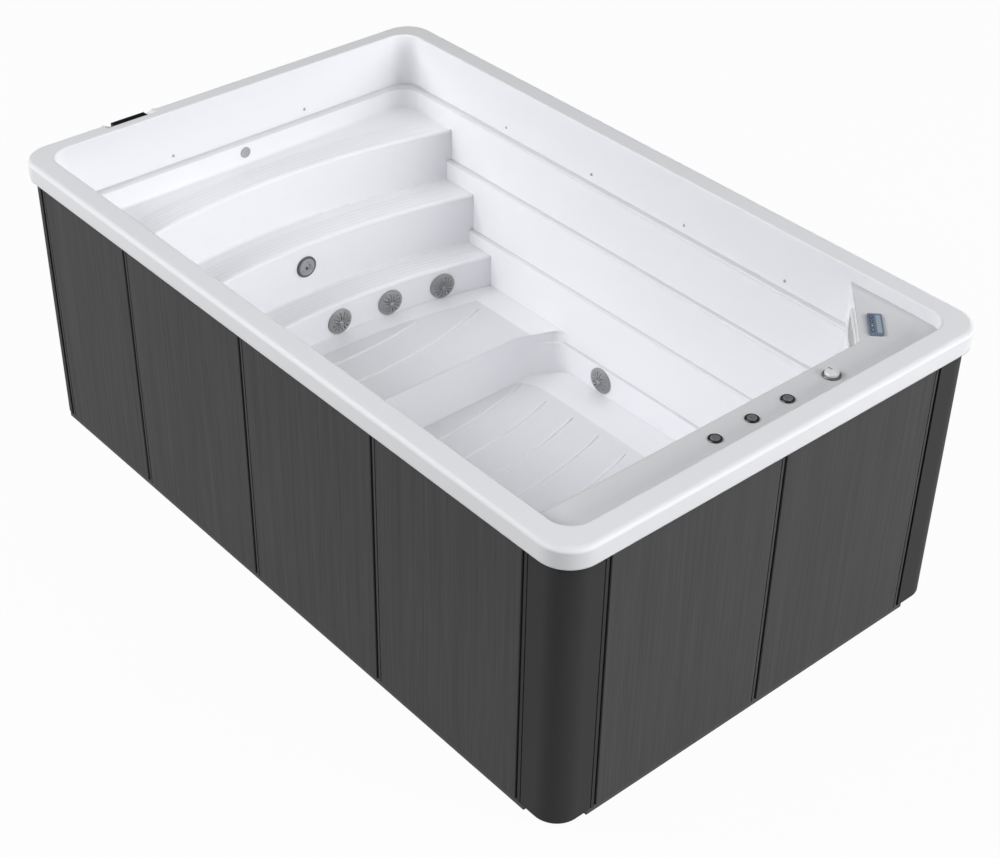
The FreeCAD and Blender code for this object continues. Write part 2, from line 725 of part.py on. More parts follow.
def riser_seat(step, y, z, radius):
    """Seat on a concave riser, stood off so that a flat flange of this radius clears the curve."""
    centre_x = TREADS[step][1]
    surface = Vector(nosing_x(centre_x, y), y, z)
    direction = Vector(centre_x + NOSING_ARC_R - surface.x, -y, 0)
    direction.normalize()
    standoff = radius * radius / (2 * NOSING_ARC_R) + FIT
    return surface + direction * standoff, direction


def far_wall_seat(x, z):
    return Vector(x, POOL_HALF_W - side_inset(z), z), Vector(0, -1, 0)


def near_wall_seat(x, z):
    return Vector(x, side_inset(z) - POOL_HALF_W, z), Vector(0, 1, 0)


def step_wall_seat(y, z):
    return Vector(POOL_STEP_X + side_inset(z), y, z), Vector(1, 0, 0)


def console_wall_seat(y, z):
    return Vector(CONSOLE_X, y, z), Vector(-1, 0, 0)


def ledge_seat(x, y):
    return Vector(x, y, CONSOLE_Z), Vector(0, 0, 1)


def suction_body():
    """Suction fitting: flange, barrel through the wall and a bar with a boss for the screw."""
    r = SUCTION_BARREL_R
    bore = r - SUCTION_WALL
    flange = SUCTION_FLANGE_T
    tube = turned([(bore, flange), (bore, -SUCTION_BARREL_L), (r, -SUCTION_BARREL_L), (r, 0),
                   (SUCTION_FLANGE_R, 0), (SUCTION_FLANGE_R, flange)])
    bar = box(-bore - 1, bore + 1, -SUCTION_BOSS_R / 2, SUCTION_BOSS_R / 2, -SUCTION_BOSS_L, 0)
    boss = Part.makeCylinder(SUCTION_BOSS_R, SUCTION_BOSS_L + flange, Vector(0, 0, -SUCTION_BOSS_L))
    shank = Part.makeCylinder(SCREW_R + FIT, 2 * SUCTION_BOSS_L, Vector(0, 0, -SUCTION_BOSS_L))
    return tube.fuse([bar, boss]).cut(shank)


def suction_standoff():
    return SUCTION_COVER_R * SUCTION_COVER_R / (2 * NOSING_ARC_R) + FIT


def suction_nut(standoff):
    z = -SHELL_WALL - standoff - FIT
    r = SUCTION_BARREL_R + FIT
    low = z - SUCTION_NUT_T
    return turned([(r, z), (SUCTION_NUT_R, z), (SUCTION_NUT_R, low), (r, low)])


def suction_cover():
    """Domed cover with radial slots, hollow over the flange, held by one centre screw."""
    r = SUCTION_COVER_R
    h = SUCTION_COVER_H
    w = SUCTION_COVER_WALL
    foot = SUCTION_FLANGE_R + 2 * w
    boss = SUCTION_BOSS_R
    seat = SUCTION_FLANGE_T + FIT
    screw = SCREW_R + FIT
    inside = [(screw, h), (screw, seat), (boss, seat), (boss, h - w), (r * 0.55, h - 1.6 * w)]
    outside = [(r, 0), (r, h * 0.28), (r * 0.85, h * 0.65), (r * 0.58, h * 0.9), (boss + w, h)]
    dome = turned(inside + [(foot, h * 0.4), (foot, 0)] + outside)
    slots = []
    for i in range(SUCTION_SLOTS):
        slot = box(boss + 2 * w, foot, -SUCTION_SLOT_W / 2, SUCTION_SLOT_W / 2, seat, 2 * h)
        slot.rotate(Vector(0, 0, 0), Vector(0, 0, 1), 360.0 * i / SUCTION_SLOTS)
        slots.append(slot)
    return dome.cut(slots)


def suction_screw():
    h = SUCTION_COVER_H
    tip = -SUCTION_BOSS_L / 2
    return turned([(0, tip), (SCREW_R, tip), (SCREW_R, h), (SCREW_R * 2, h),
                   (SCREW_R * 1.6, h + SCREW_R), (0, h + SCREW_R)])


def massage_jet_body():
    r = JET_BARREL_R
    bore = JET_BORE_R
    face = JET_FACE_R + FIT
    f = JET_FLANGE_R
    t = JET_FLANGE_T
    deep = SHELL_WALL - JET_DEPTH
    outside = [(0, -JET_DEPTH), (r, -JET_DEPTH), (r, 0), (f, 0), (f, t * 0.6), (f - t * 0.4, t)]
    inside = [(face, t), (face, t * JET_SEAT), (bore, t * JET_SEAT), (bore, deep), (0, deep)]
    return turned(outside + inside)


def massage_jet_face():
    """Turning face with a finger dish, three grips and an off-centre nozzle."""
    t = JET_FLANGE_T
    low = t * JET_SEAT + FIT
    deep = -JET_DEPTH / 2
    r = JET_FACE_R
    stem = JET_BORE_R - FIT
    disc = turned([(0, deep), (stem, deep), (stem, low), (r, low), (r, t), (r * 0.87, t * 1.4),
                   (r * 0.5, t * 1.4), (r * 0.38, t * 0.6), (0, t * 0.6)])
    cuts = [Part.makeCylinder(JET_NOZZLE_R, JET_DEPTH, Vector(r * 0.2, 0, deep + SHELL_WALL))]
    for i in range(3):
        angle = math.radians(120 * i + 60)
        place = Vector(r * 0.7 * math.cos(angle), r * 0.7 * math.sin(angle), t)
        cuts.append(Part.makeCylinder(r * 0.14, t, place))
    return disc.cut(cuts)


def end_wall_fitting():
    r = SMALL_FITTING_R
    stem = SMALL_FITTING_STEM_R
    return turned([(0, -SMALL_FITTING_L), (stem, -SMALL_FITTING_L), (stem, 0), (r, 0), (r, r * 0.1),
                   (r * 0.85, r * 0.2), (r * 0.6, r * 0.2), (r * 0.45, r * 0.08), (0, r * 0.08)])


def waterline_light():
    r = LIGHT_R
    stem = LIGHT_STEM_R
    return turned([(0, -LIGHT_L), (stem, -LIGHT_L), (stem, 0), (r, 0), (r * 0.8, r * 0.35), (0, r * 0.45)])


def swim_socket():
    """Swim jet housing turned about Z: flange, barrel, water channel and spherical socket."""
    f = SWIM_FLANGE_R
    t = SWIM_FLANGE_T
    r = SWIM_BARREL_R
    ball = SWIM_BALL_R + FIT
    channel = SWIM_CHANNEL_R
    deep = SHELL_WALL - SWIM_DEPTH
    mouth = Vector(math.sqrt(ball ** 2 - (t + SWIM_BALL_SINK) ** 2), 0, t)
    throat = Vector(channel, 0, -SWIM_BALL_SINK - math.sqrt(ball ** 2 - channel ** 2))
    outside = [(channel, deep), (0, deep), (0, -SWIM_DEPTH), (r, -SWIM_DEPTH), (r, 0), (f, 0)]
    outside += [(f, t / 2), (f - t / 2, t)]
    points = [throat] + [Vector(x, 0, z) for x, z in outside] + [mouth]
    edges = [Part.LineSegment(a, b).toShape() for a, b in zip(points, points[1:])]
    edges.append(Part.Arc(mouth, Vector(ball, 0, -SWIM_BALL_SINK), throat).toShape())
    return Part.Face(Part.Wire(edges)).revolve(Vector(0, 0, 0), Vector(0, 0, 1), 360)


def swim_jet_body(y):
    """Swim jet housing on the console wall, with a boss for each pipe that meets it."""
    body = seated(swim_socket(), console_wall_seat(y, SWIM_JET_Z))
    port = Vector(PRESSURE_X, y, SWIM_JET_Z)
    ways = []
    if y != 0:
        ways.append(Vector(0, 0, -1))
    if y <= 0:
        ways.append(Vector(0, 1, 0))
    if y >= 0:
        ways.append(Vector(0, -1, 0))
    start = SWIM_BALL_R + SHELL_WALL / 2
    for way in ways:
        boss = Part.makeCylinder(PIPE_R + PIPE_WALL, SWIM_BOSS_L - start, port + way * start, way)
        body = body.fuse(boss)
    for way in ways:
        body = body.cut(Part.makeCylinder(PIPE_R - PIPE_WALL, SWIM_BOSS_L, port, way))
    return body.Solids[0]


def swim_ball_centre(y):
    return Vector(CONSOLE_X + SWIM_BALL_SINK, y, SWIM_JET_Z)


def swim_jet_nozzle(y):
    """Ball nozzle that swivels in its socket: a cut sphere with a tapered bore and a ring lip."""
    r = SWIM_BALL_R
    ball = Part.makeSphere(r)
    front = r * 0.82
    ball = ball.cut(box(-r, r, -r, r, front, r + 1))
    taper = Part.makeCone(r * 0.68, r * 0.46, r + front, Vector(0, 0, -r), Vector(0, 0, 1))
    vane = box(-r * 0.5, r * 0.5, -VANE_T / 2, VANE_T / 2, -r * 0.2, r * 0.3)
    nozzle = ball.cut(taper).fuse(vane).Solids[0]
    return seated(nozzle, (swim_ball_centre(y), Vector(-1, 0, 0)))


def control_body(r, t, stem, depth, cap, barrel):
    """Flanged body of a ledge control with a seat for its cap and a bore for its stem."""
    bore = stem + SHAFT_CLEARANCE
    seat = t * CONTROL_SEAT
    end = -depth * CONTROL_BORE
    outside = [(0, -depth), (barrel, -depth), (barrel, 0), (r, 0), (r, t * 0.5), (r - t * 0.4, t)]
    return turned(outside + [(cap + FIT, t), (cap + FIT, seat), (bore, seat), (bore, end), (0, end)])


def control_cap(cap, t, stem, depth, height):
    """Turning cap with its stem and a raised grip bar."""
    low = t * CONTROL_SEAT + FIT
    end = -depth * CONTROL_BORE + FIT
    disc = turned([(0, end), (stem, end), (stem, low), (cap, low), (cap, height * 0.75),
                   (cap * 0.86, height), (0, height)])
    grip = box(-cap * 0.72, cap * 0.72, -cap * 0.1, cap * 0.1, height - 1, height * 1.3)
    return disc.fuse(grip).removeSplitter()


# Control panel, in its own axes: u along the diagonal edge, v away from the pool

def diagonal(shape, u, v, z):
    """Move a shape from its own axes to the filter corner."""
    placed = shape.copy()
    placed.rotate(Vector(0, 0, 0), Vector(0, 0, 1), -45)
    placed.translate(Vector((u + v) / math.sqrt(2), (v - u) / math.sqrt(2), z))
    return placed


def key_places():
    return [(i - (KEY_COUNT - 1) / 2) * KEY_PITCH for i in range(KEY_COUNT)]


def block(u, v, length, width, z0, z1):
    """Box with its plan centre at (u, v)."""
    return box(u - length / 2, u + length / 2, v - width / 2, v + width / 2, z0, z1)


def panel_housing():
    half_l = PANEL_L / 2
    half_w = PANEL_W / 2
    plate = prism(rectangle(-half_l, half_l, half_w, PANEL_R), 0, PANEL_H)
    cuts = [block(0, SCREEN_V, SCREEN_L + 2 * FIT, SCREEN_W + 2 * FIT, PANEL_H - SCREEN_T, PANEL_H)]
    for u in key_places():
        cuts.append(block(u, KEY_V, KEY_L + 2 * FIT, KEY_W + 2 * FIT, PANEL_H - KEY_DEEP, PANEL_H))
    return plate.cut(cuts)


def panel_screen():
    return block(0, SCREEN_V, SCREEN_L, SCREEN_W, PANEL_H - SCREEN_T, PANEL_H + SCREEN_T * 0.3)


def panel_key(u):
    low = PANEL_H - KEY_DEEP + KEY_TRAVEL + FIT
    key = block(u, KEY_V, KEY_L, KEY_W, low, PANEL_H + KEY_TRAVEL + FIT)
    top = [e for e in key.Edges if e.BoundBox.ZMin > PANEL_H]
    return key.makeChamfer(KEY_TRAVEL / 2, top)


# Skimmer in the diagonal face: x along u, y into the corner, z up

def skimmer_mouth(grow, y0, y1):
    half_u = MOUTH_L / 2 + grow
    half_z = MOUTH_H / 2 + grow
    slot = prism(rectangle(-half_u, half_u, half_z, MOUTH_R), -y1, -y0)
    slot.rotate(Vector(0, 0, 0), Vector(1, 0, 0), 90)
    return slot


def skimmer_faceplate():
    half_u = MOUTH_L / 2 + FACE_BORDER
    half_z = MOUTH_H / 2 + FACE_BORDER
    plate = prism(rectangle(-half_u, half_u, half_z, MOUTH_R + FACE_BORDER), 0, FACE_T)
    outer = [e for e in plate.Edges if e.BoundBox.ZMin > FACE_T - TOUCH]
    plate = plate.makeFillet(FACE_T * 0.4, outer)
    plate.rotate(Vector(0, 0, 0), Vector(1, 0, 0), 90)
    pin_reach = MOUTH_L / 2 + WEIR_PIN_L + FIT
    pin_start = Vector(-pin_reach, -FACE_T / 2, weir_axis_z())
    pin = Part.makeCylinder(WEIR_PIN_R + SHAFT_CLEARANCE, 2 * pin_reach, pin_start, Vector(1, 0, 0))
    return plate.cut([skimmer_mouth(0, -2 * FACE_T, FACE_T), pin])


def weir_axis_z():
    return -MOUTH_H / 2 + WEIR_T


def weir_flap():
    """Floating flap hinged on two pins along the lower edge of the mouth."""
    half_u = MOUTH_L / 2 - MOUTH_R
    y = -FACE_T / 2
    z = weir_axis_z()
    plate = skimmer_mouth(-WEIR_GAP, y - WEIR_T / 2, y + WEIR_T / 2)
    plate = plate.common(box(-MOUTH_L, MOUTH_L, y - WEIR_T, y + WEIR_T, z, MOUTH_H))
    hinge = Part.makeCylinder(WEIR_T / 2, 2 * half_u, Vector(-half_u, y, z), Vector(1, 0, 0))
    reach = MOUTH_L / 2 + WEIR_PIN_L
    pin = Part.makeCylinder(WEIR_PIN_R, 2 * reach, Vector(-reach, y, z), Vector(1, 0, 0))
    return plate.fuse([hinge, pin]).removeSplitter()


def skimmer_housing():
    half = HOUSING_L / 2
    y0 = SHELL_WALL + FIT
    w = HOUSING_WALL
    outer = box(-half, half, y0, y0 + HOUSING_D, HOUSING_LOW, HOUSING_HIGH)
    inner = box(w - half, half - w, y0 + w, y0 + HOUSING_D - w, HOUSING_LOW + w, HOUSING_HIGH - w)
    return outer.cut([inner, skimmer_mouth(0, 0, y0 + w + 1)])


def filter_cartridge():
    """Pleated cartridge with end caps, standing on the floor of the filter housing."""
    y = SHELL_WALL + FIT + HOUSING_D - HOUSING_WALL - FILTER_R - FILTER_BACK_GAP
    low = HOUSING_LOW + HOUSING_WALL
    high = HOUSING_HIGH - HOUSING_WALL - FILTER_TOP_GAP
    step = 2 * math.pi / (2 * FILTER_PLEATS)
    points = []
    for i in range(2 * FILTER_PLEATS):
        radius = FILTER_R * (0.97 if i % 2 else 0.8)
        x = radius * math.cos(i * step)
        points.append(Vector(x, y + radius * math.sin(i * step), low + FILTER_CAP))
    pleats = Part.Face(Part.makePolygon(points + points[:1]))
    pleats = pleats.extrude(Vector(0, 0, high - low - 2 * FILTER_CAP))
    caps = [Part.makeCylinder(FILTER_R, FILTER_CAP, Vector(0, y, z)) for z in (low, high - FILTER_CAP)]
    core = Part.makeCylinder(FILTER_R * 0.4, high - low, Vector(0, y, low))
    return pleats.fuse(caps).cut(core).Solids[0]


# Pumps and pipes in the bay behind the console wall

def pump_frame(side):
    """Seat of a pump's inlet face; side is -1 for the near pump and 1 for the far one."""
    return Vector(PUMP_X, side * PUMP_INLET_Y, PUMP_Z), Vector(0, -side, 0)


def pump_chambers():
    """Hollow inside of a pump: inlet, impeller chamber, shaft bore and motor chamber."""
    bore = PUMP_SHAFT_R + SHAFT_CLEARANCE
    neck = PIPE_R - PIPE_WALL
    z_imp = -PUMP_NECK - PUMP_WALL
    z_seal = -PUMP_NECK - PUMP_VOLUTE_L + PUMP_WALL
    z_motor = -PUMP_NECK - PUMP_VOLUTE_L - PUMP_WALL
    z_back = PUMP_WALL * 2 - PUMP_LENGTH
    return turned([(0, 1), (neck, 1), (neck, z_imp), (PUMP_VOLUTE_R - PUMP_WALL, z_imp),
                   (PUMP_VOLUTE_R - PUMP_WALL, z_seal), (bore, z_seal), (bore, z_motor),
                   (PUMP_MOTOR_R - PUMP_WALL, z_motor), (PUMP_MOTOR_R - PUMP_WALL, z_back), (bore, z_back),
                   (bore, z_back - PUMP_WALL), (0, z_back - PUMP_WALL)])


def pump_casing(side):
    """Volute, motor shell with cooling ribs, feet and a discharge stub."""
    neck = PIPE_R + PIPE_WALL
    volute_end = -PUMP_NECK - PUMP_VOLUTE_L
    body = turned([(0, 0), (neck, 0), (neck, -PUMP_NECK), (PUMP_VOLUTE_R, -PUMP_NECK),
                   (PUMP_VOLUTE_R, volute_end), (PUMP_MOTOR_R, volute_end), (PUMP_MOTOR_R, -PUMP_LENGTH),
                   (0, -PUMP_LENGTH)])
    ribs = []
    for i in range(PUMP_RIBS):
        rib = box(PUMP_MOTOR_R - PUMP_WALL / 2, PUMP_MOTOR_R + PUMP_RIB_H, -PUMP_RIB_W / 2, PUMP_RIB_W / 2,
                  PUMP_RIB_END - PUMP_LENGTH, volute_end - PUMP_RIB_END)
        rib.rotate(Vector(0, 0, 0), Vector(0, 0, 1), 360.0 * i / PUMP_RIBS)
        ribs.append(rib)
    body = seated(body.fuse(ribs), pump_frame(side))
    y_volute = side * (PUMP_INLET_Y + PUMP_NECK + PUMP_VOLUTE_L / 2)
    stub_foot = Vector(PRESSURE_X, y_volute, PUMP_Z)
    stub = Part.makeCylinder(PIPE_R + PIPE_WALL, DISCHARGE_Z - PUMP_Z, stub_foot)
    stub_bore = Part.makeCylinder(PIPE_R - PIPE_WALL, DISCHARGE_Z - PUMP_Z, stub_foot)
    feet = []
    for along in PUMP_FEET:
        y = side * (PUMP_INLET_Y + along)
        top = PUMP_Z - PUMP_MOTOR_R + PUMP_WALL
        feet.append(block(PUMP_X, y, PUMP_FOOT_W, PUMP_FOOT_L, TRAY_THICKNESS, top))
    chambers = seated(pump_chambers(), pump_frame(side))
    return body.fuse([stub] + feet).cut([chambers, stub_bore]).Solids[0]


def pump_rotor(side):
    """Shaft with a vaned impeller and the motor's rotor core."""
    z_imp = -PUMP_NECK - PUMP_WALL - IMPELLER_GAP
    z_disc = z_imp - IMPELLER_T
    z_back = PUMP_WALL - PUMP_LENGTH + FIT
    z_core = -PUMP_NECK - PUMP_VOLUTE_L - PUMP_WALL - IMPELLER_GAP
    s = PUMP_SHAFT_R
    core = PUMP_MOTOR_R - PUMP_WALL - IMPELLER_GAP * 2
    z_plate = z_disc + PUMP_WALL / 2
    z_end = z_core - ROTOR_CORE_L
    rotor = turned([(0, z_imp), (s, z_imp), (s, z_plate), (IMPELLER_R, z_plate), (IMPELLER_R, z_disc),
                    (s, z_disc), (s, z_core), (core, z_core), (core, z_end), (s, z_end), (s, z_back),
                    (0, z_back)])
    vanes = []
    for i in range(IMPELLER_VANES):
        vane = box(s / 2, IMPELLER_R, -VANE_T / 2, VANE_T / 2, z_disc, z_imp)
        vane.rotate(Vector(0, 0, 0), Vector(0, 0, 1), 360.0 * i / IMPELLER_VANES)
        vanes.append(vane)
    return seated(rotor.fuse(vanes).removeSplitter(), pump_frame(side))


def bent_path(points, radius):
    """Straight runs joined by tangent arcs of one radius."""
    edges = []
    start = points[0]
    for before, here, after in zip(points, points[1:], points[2:]):
        a = before - here
        b = after - here
        a.normalize()
        b.normalize()
        half = a.getAngle(b) / 2
        run = radius / math.tan(half)
        middle = a + b
        middle.normalize()
        edges.append(Part.LineSegment(start, here + a * run).toShape())
        edges.append(Part.Arc(here + a * run, here + middle * (radius / math.sin(half) - radius),
                              here + b * run).toShape())
        start = here + b * run
    edges.append(Part.LineSegment(start, points[-1]).toShape())
    return edges


def swept(path, radius):
    """Round bar along a path."""
    first = path.OrderedEdges[0]
    start = first.valueAt(first.FirstParameter)
    direction = first.tangentAt(first.FirstParameter)
    if (start - path.OrderedVertexes[0].Point).Length > TOUCH:
        start = first.valueAt(first.LastParameter)
        direction = first.tangentAt(first.LastParameter)
    ring = Part.Wire(Part.makeCircle(radius, start, direction))
    return path.makePipeShell([ring], True, False)


def manifold_edges():
    """Arc behind the suction barrels of the lowest riser, then a bend to the far wall."""
    radius = NOSING_ARC_R + SUCTION_BARREL_L - suction_standoff() + PIPE_R + PIPE_WALL + FIT
    centre = Vector(TREADS[2][1] + NOSING_ARC_R, 0, SUCTION_Z)
    bend_y = LINE_Y - BEND_R
    bend = centre + Vector(-math.sqrt((radius - BEND_R) ** 2 - bend_y ** 2), bend_y, 0)
    first_angle = math.pi - math.asin((SUCTION_YS[0] - SUCTION_FLANGE_R) / radius)
    last_angle = math.atan2(bend.y - centre.y, bend.x - centre.x)
    around = []
    for angle in (first_angle, (first_angle + last_angle) / 2, last_angle):
        around.append(centre + Vector(radius * math.cos(angle), radius * math.sin(angle), 0))
    half_turn = (last_angle + math.pi / 2) / 2
    middle = bend + Vector(BEND_R * math.cos(half_turn), BEND_R * math.sin(half_turn), 0)
    end = bend + Vector(0, BEND_R, 0)
    return [Part.Arc(*around).toShape(), Part.Arc(around[2], middle, end).toShape()], end


def suction_line():
    """Manifold behind the lowest riser, along the far wall and round to both pump inlets."""
    manifold, start = manifold_edges()
    run = [start, Vector(PUMP_X, LINE_Y, SUCTION_Z)]
    drop_y = PUMP_INLET_Y - LINE_DROP
    drop = [(drop_y, SUCTION_Z), (drop_y, PUMP_Z), (PUMP_INLET_Y, PUMP_Z)]
    run += [Vector(PUMP_X, -y, z) for y, z in drop]
    branch = [Vector(PUMP_X, y, z) for y, z in drop]
    paths = [Part.Wire(manifold + bent_path(run, BEND_R)), Part.Wire(bent_path(branch, BEND_R))]
    outer = [swept(path, PIPE_R + PIPE_WALL) for path in paths]
    inner = [swept(path, PIPE_R - PIPE_WALL) for path in paths]
    return outer[0].fuse(outer[1]).cut(inner).Solids[0]


def pipe(start, end):
    way = end - start
    length = way.Length
    outer = Part.makeCylinder(PIPE_R + PIPE_WALL, length, start, way)
    return outer.cut(Part.makeCylinder(PIPE_R - PIPE_WALL, length, start, way))


def pressure_line():
    """Risers from the pumps to the outer swim jets and the links to the middle one."""
    pieces = []
    for side in (-1, 1):
        y = side * SWIM_JET_PITCH
        top = Vector(PRESSURE_X, y, SWIM_JET_Z - SWIM_BOSS_L)
        pieces.append(pipe(Vector(PRESSURE_X, y, DISCHARGE_Z), top))
        pieces.append(pipe(Vector(PRESSURE_X, side * SWIM_BOSS_L, SWIM_JET_Z),
                           Vector(PRESSURE_X, y - side * SWIM_BOSS_L, SWIM_JET_Z)))
    return pieces


def equipment_box():
    """Sealed box for the controls and heater, fixed to the middle upright of the console end."""
    x1 = INNER_X - UPRIGHT_DEPTH
    x_mid = x1 - BOX_DEPTH / 2
    case = block(x_mid, BOX_Y, BOX_DEPTH, BOX_LENGTH, BOX_Z, BOX_Z + BOX_HEIGHT)
    front = [e for e in case.Edges if e.BoundBox.XMax < x1 - TOUCH]
    case = case.makeFillet(BOX_EDGE_R, front)
    w = BOX_SEAM
    ring = block(x_mid, BOX_Y, w, BOX_LENGTH + w, BOX_Z - w, BOX_Z + BOX_HEIGHT + w)
    keep = block(x_mid, BOX_Y, w, BOX_LENGTH - 2 * w, BOX_Z + w, BOX_Z + BOX_HEIGHT - w)
    return case.cut(ring.cut(keep))


def main():
    jet_seat = riser_seat(1, JET_Y, JET_Z, JET_FLANGE_R)
    fitting_seat = step_wall_seat(0.0, SMALL_FITTING_Z)
    riser_seats = [riser_seat(2, y, SUCTION_Z, SUCTION_COVER_R) for y in SUCTION_YS]
    wall_seat = far_wall_seat(WALL_SUCTION_X, WALL_SUCTION_Z)
    suction_seats = riser_seats + [wall_seat]
    standoffs = [suction_standoff()] * len(riser_seats) + [0.0]
    light_seats = [far_wall_seat(LIGHT_X + i * LIGHT_PITCH, LIGHT_Z) for i in range(4)]
    light_seats += [near_wall_seat(LIGHT_X + i * LIGHT_PITCH, LIGHT_Z) for i in range(4)]
    light_seats += [step_wall_seat(y, LIGHT_Z) for y in (-LIGHT_END_Y, LIGHT_END_Y)]
    air_seats = [ledge_seat(CONTROL_X, (i - 1) * AIR_PITCH) for i in range(3)]
    diverter_seat = ledge_seat(CONTROL_X, DIVERTER_Y)
    swim_ys = [-SWIM_JET_PITCH, 0.0, SWIM_JET_PITCH]

    holes = [hole(SUCTION_BARREL_R, seat) for seat in suction_seats]
    holes += [hole(JET_BARREL_R, jet_seat), hole(SMALL_FITTING_STEM_R, fitting_seat)]
    holes += [hole(LIGHT_STEM_R, seat) for seat in light_seats]
    holes += [hole(AIR_BARREL_R, seat) for seat in air_seats]
    holes += [hole(DIVERTER_BARREL_R, diverter_seat)]
    holes += [hole(SWIM_BARREL_R, console_wall_seat(y, SWIM_JET_Z)) for y in swim_ys]
    mouth = skimmer_mouth(HOLE_CLEARANCE, -SHELL_WALL, 2 * SHELL_WALL)
    holes += [diagonal(mouth, SKIMMER_U, CORNER_V, SKIMMER_Z)]
    save(acrylic_shell(holes), "acrylic_shell")
    save(rim_insert(), "rim_insert")

    place_panels()
    place_posts()
    save(group(base_rails()), "base_rails")
    save(base_tray(), "base_tray")
    save(group(bearers()), "bearers")
    save(group(frame_uprights_long()), "frame_uprights_long")
    save(group(frame_uprights_end()), "frame_uprights_end")
    save(frame_top_ring(), "frame_top_ring")

    for i, seat in enumerate(suction_seats):
        save(seated(suction_cover(), seat), "suction_cover_%d" % (i + 1))
    fittings = [seated(suction_body(), seat) for seat in suction_seats]
    fittings += [seated(suction_nut(gap), seat) for gap, seat in zip(standoffs, suction_seats)]
    save(group(fittings), "suction_bodies")
    save(group([seated(suction_screw(), seat) for seat in suction_seats]), "suction_cover_screws")
    save(seated(massage_jet_body(), jet_seat), "massage_jet_body")
    save(seated(massage_jet_face(), jet_seat), "massage_jet_face")
    save(seated(end_wall_fitting(), fitting_seat), "end_wall_fitting")
    save(group([seated(waterline_light(), seat) for seat in light_seats]), "waterline_lights")

    save(group([swim_jet_body(y) for y in swim_ys]), "swim_jet_bodies")
    for i, y in enumerate(swim_ys):
        save(swim_jet_nozzle(y), "swim_jet_nozzle_%d" % (i + 1))

    air_body = control_body(AIR_R, AIR_T, AIR_STEM_R, AIR_DEPTH, AIR_CAP_R, AIR_BARREL_R)
    air_cap = control_cap(AIR_CAP_R, AIR_T, AIR_STEM_R, AIR_DEPTH, AIR_CAP_H)
    save(group([seated(air_body, seat) for seat in air_seats]), "air_control_bodies")
    for i, seat in enumerate(air_seats):
        save(seated(air_cap, seat), "air_control_cap_%d" % (i + 1))
    diverter = control_body(DIVERTER_R, DIVERTER_T, DIVERTER_STEM_R, DIVERTER_DEPTH, DIVERTER_CAP_R,
                            DIVERTER_BARREL_R)
    knob = control_cap(DIVERTER_CAP_R, DIVERTER_T, DIVERTER_STEM_R, DIVERTER_DEPTH, DIVERTER_CAP_H)
    save(seated(diverter, diverter_seat), "diverter_body")
    save(seated(knob, diverter_seat), "diverter_knob")

    save(diagonal(panel_housing(), PANEL_U, PANEL_V, CONSOLE_Z), "panel_housing")
    save(diagonal(panel_screen(), PANEL_U, PANEL_V, CONSOLE_Z), "panel_screen")
    for i, u in enumerate(key_places()):
        save(diagonal(panel_key(u), PANEL_U, PANEL_V, CONSOLE_Z), "panel_key_%d" % (i + 1))

    skimmer = [skimmer_faceplate(), skimmer_housing()]
    save(group([diagonal(piece, SKIMMER_U, CORNER_V, SKIMMER_Z) for piece in skimmer]), "skimmer_housing")
    save(diagonal(weir_flap(), SKIMMER_U, CORNER_V, SKIMMER_Z), "weir_flap")
    save(diagonal(filter_cartridge(), SKIMMER_U, CORNER_V, SKIMMER_Z), "filter_cartridge")

    for side, name in ((-1, "near"), (1, "far")):
        save(pump_casing(side), "swim_pump_%s" % name)
        save(pump_rotor(side), "swim_pump_%s_rotor" % name)
    save(suction_line(), "suction_line")
    save(group(pressure_line()), "pressure_line")
    save(equipment_box(), "equipment_box")


if __name__ == "__main__":
    main()
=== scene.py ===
import logging
import math
from dataclasses import dataclass, field
from enum import Enum
from typing import Any, Mapping, Sequence

import bmesh
import bpy
import numpy as np
from mathutils import Matrix, Vector


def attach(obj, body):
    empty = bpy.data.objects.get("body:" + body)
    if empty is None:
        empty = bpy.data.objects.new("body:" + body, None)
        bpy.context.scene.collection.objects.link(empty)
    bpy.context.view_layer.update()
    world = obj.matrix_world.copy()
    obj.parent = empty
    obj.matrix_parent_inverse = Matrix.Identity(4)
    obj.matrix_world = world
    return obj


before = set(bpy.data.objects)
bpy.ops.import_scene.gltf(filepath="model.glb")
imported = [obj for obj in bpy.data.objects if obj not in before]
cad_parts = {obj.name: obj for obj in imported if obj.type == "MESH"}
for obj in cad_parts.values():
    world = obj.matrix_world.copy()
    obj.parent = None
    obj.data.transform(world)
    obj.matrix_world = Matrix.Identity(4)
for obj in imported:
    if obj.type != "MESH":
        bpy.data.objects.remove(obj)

LOG = logging.getLogger("swim_spa")
Triple = tuple[float, float, float]
Colour = Triple
# A noise pattern: spots for each metre along X, Y and Z, and the number of finer layers.
Pattern = tuple[Triple, float]
Socket = bpy.types.NodeSocket
FULL_TURN = 2.0 * math.pi
NOISE_ROUGHNESS = 0.55
NOISE_LOW, NOISE_HIGH = 0.3, 0.7
BEVEL_SAMPLES = 4
PLASTIC_IOR = 1.49
MERGE_DISTANCE = 1e-6
ARC_STEPS = 121
PROFILE_STEPS = 16
CUSHION_TURNS = 48
CUSHION_STEPS = 9


class Body(Enum):
    """The bodies of the record that new pieces ride on."""

    SPA = "spa"
    KEY_1 = "key_1"
    KEY_2 = "key_2"
    KEY_3 = "key_3"
    KEY_4 = "key_4"
    DIVERTER = "diverter"


class Mark(Enum):
    """Plain raised marks on the panel's keys, by the number of corners (0 is round)."""

    UP = 3
    DOWN = -3
    ROUND = 0
    SQUARE = 4

    def start(self) -> float:
        """Where the outline starts.

        Returns:
            The angle of its first corner, in radians.
        """
        return {Mark.DOWN: math.pi, Mark.SQUARE: math.pi / 4.0}.get(self, 0.0)


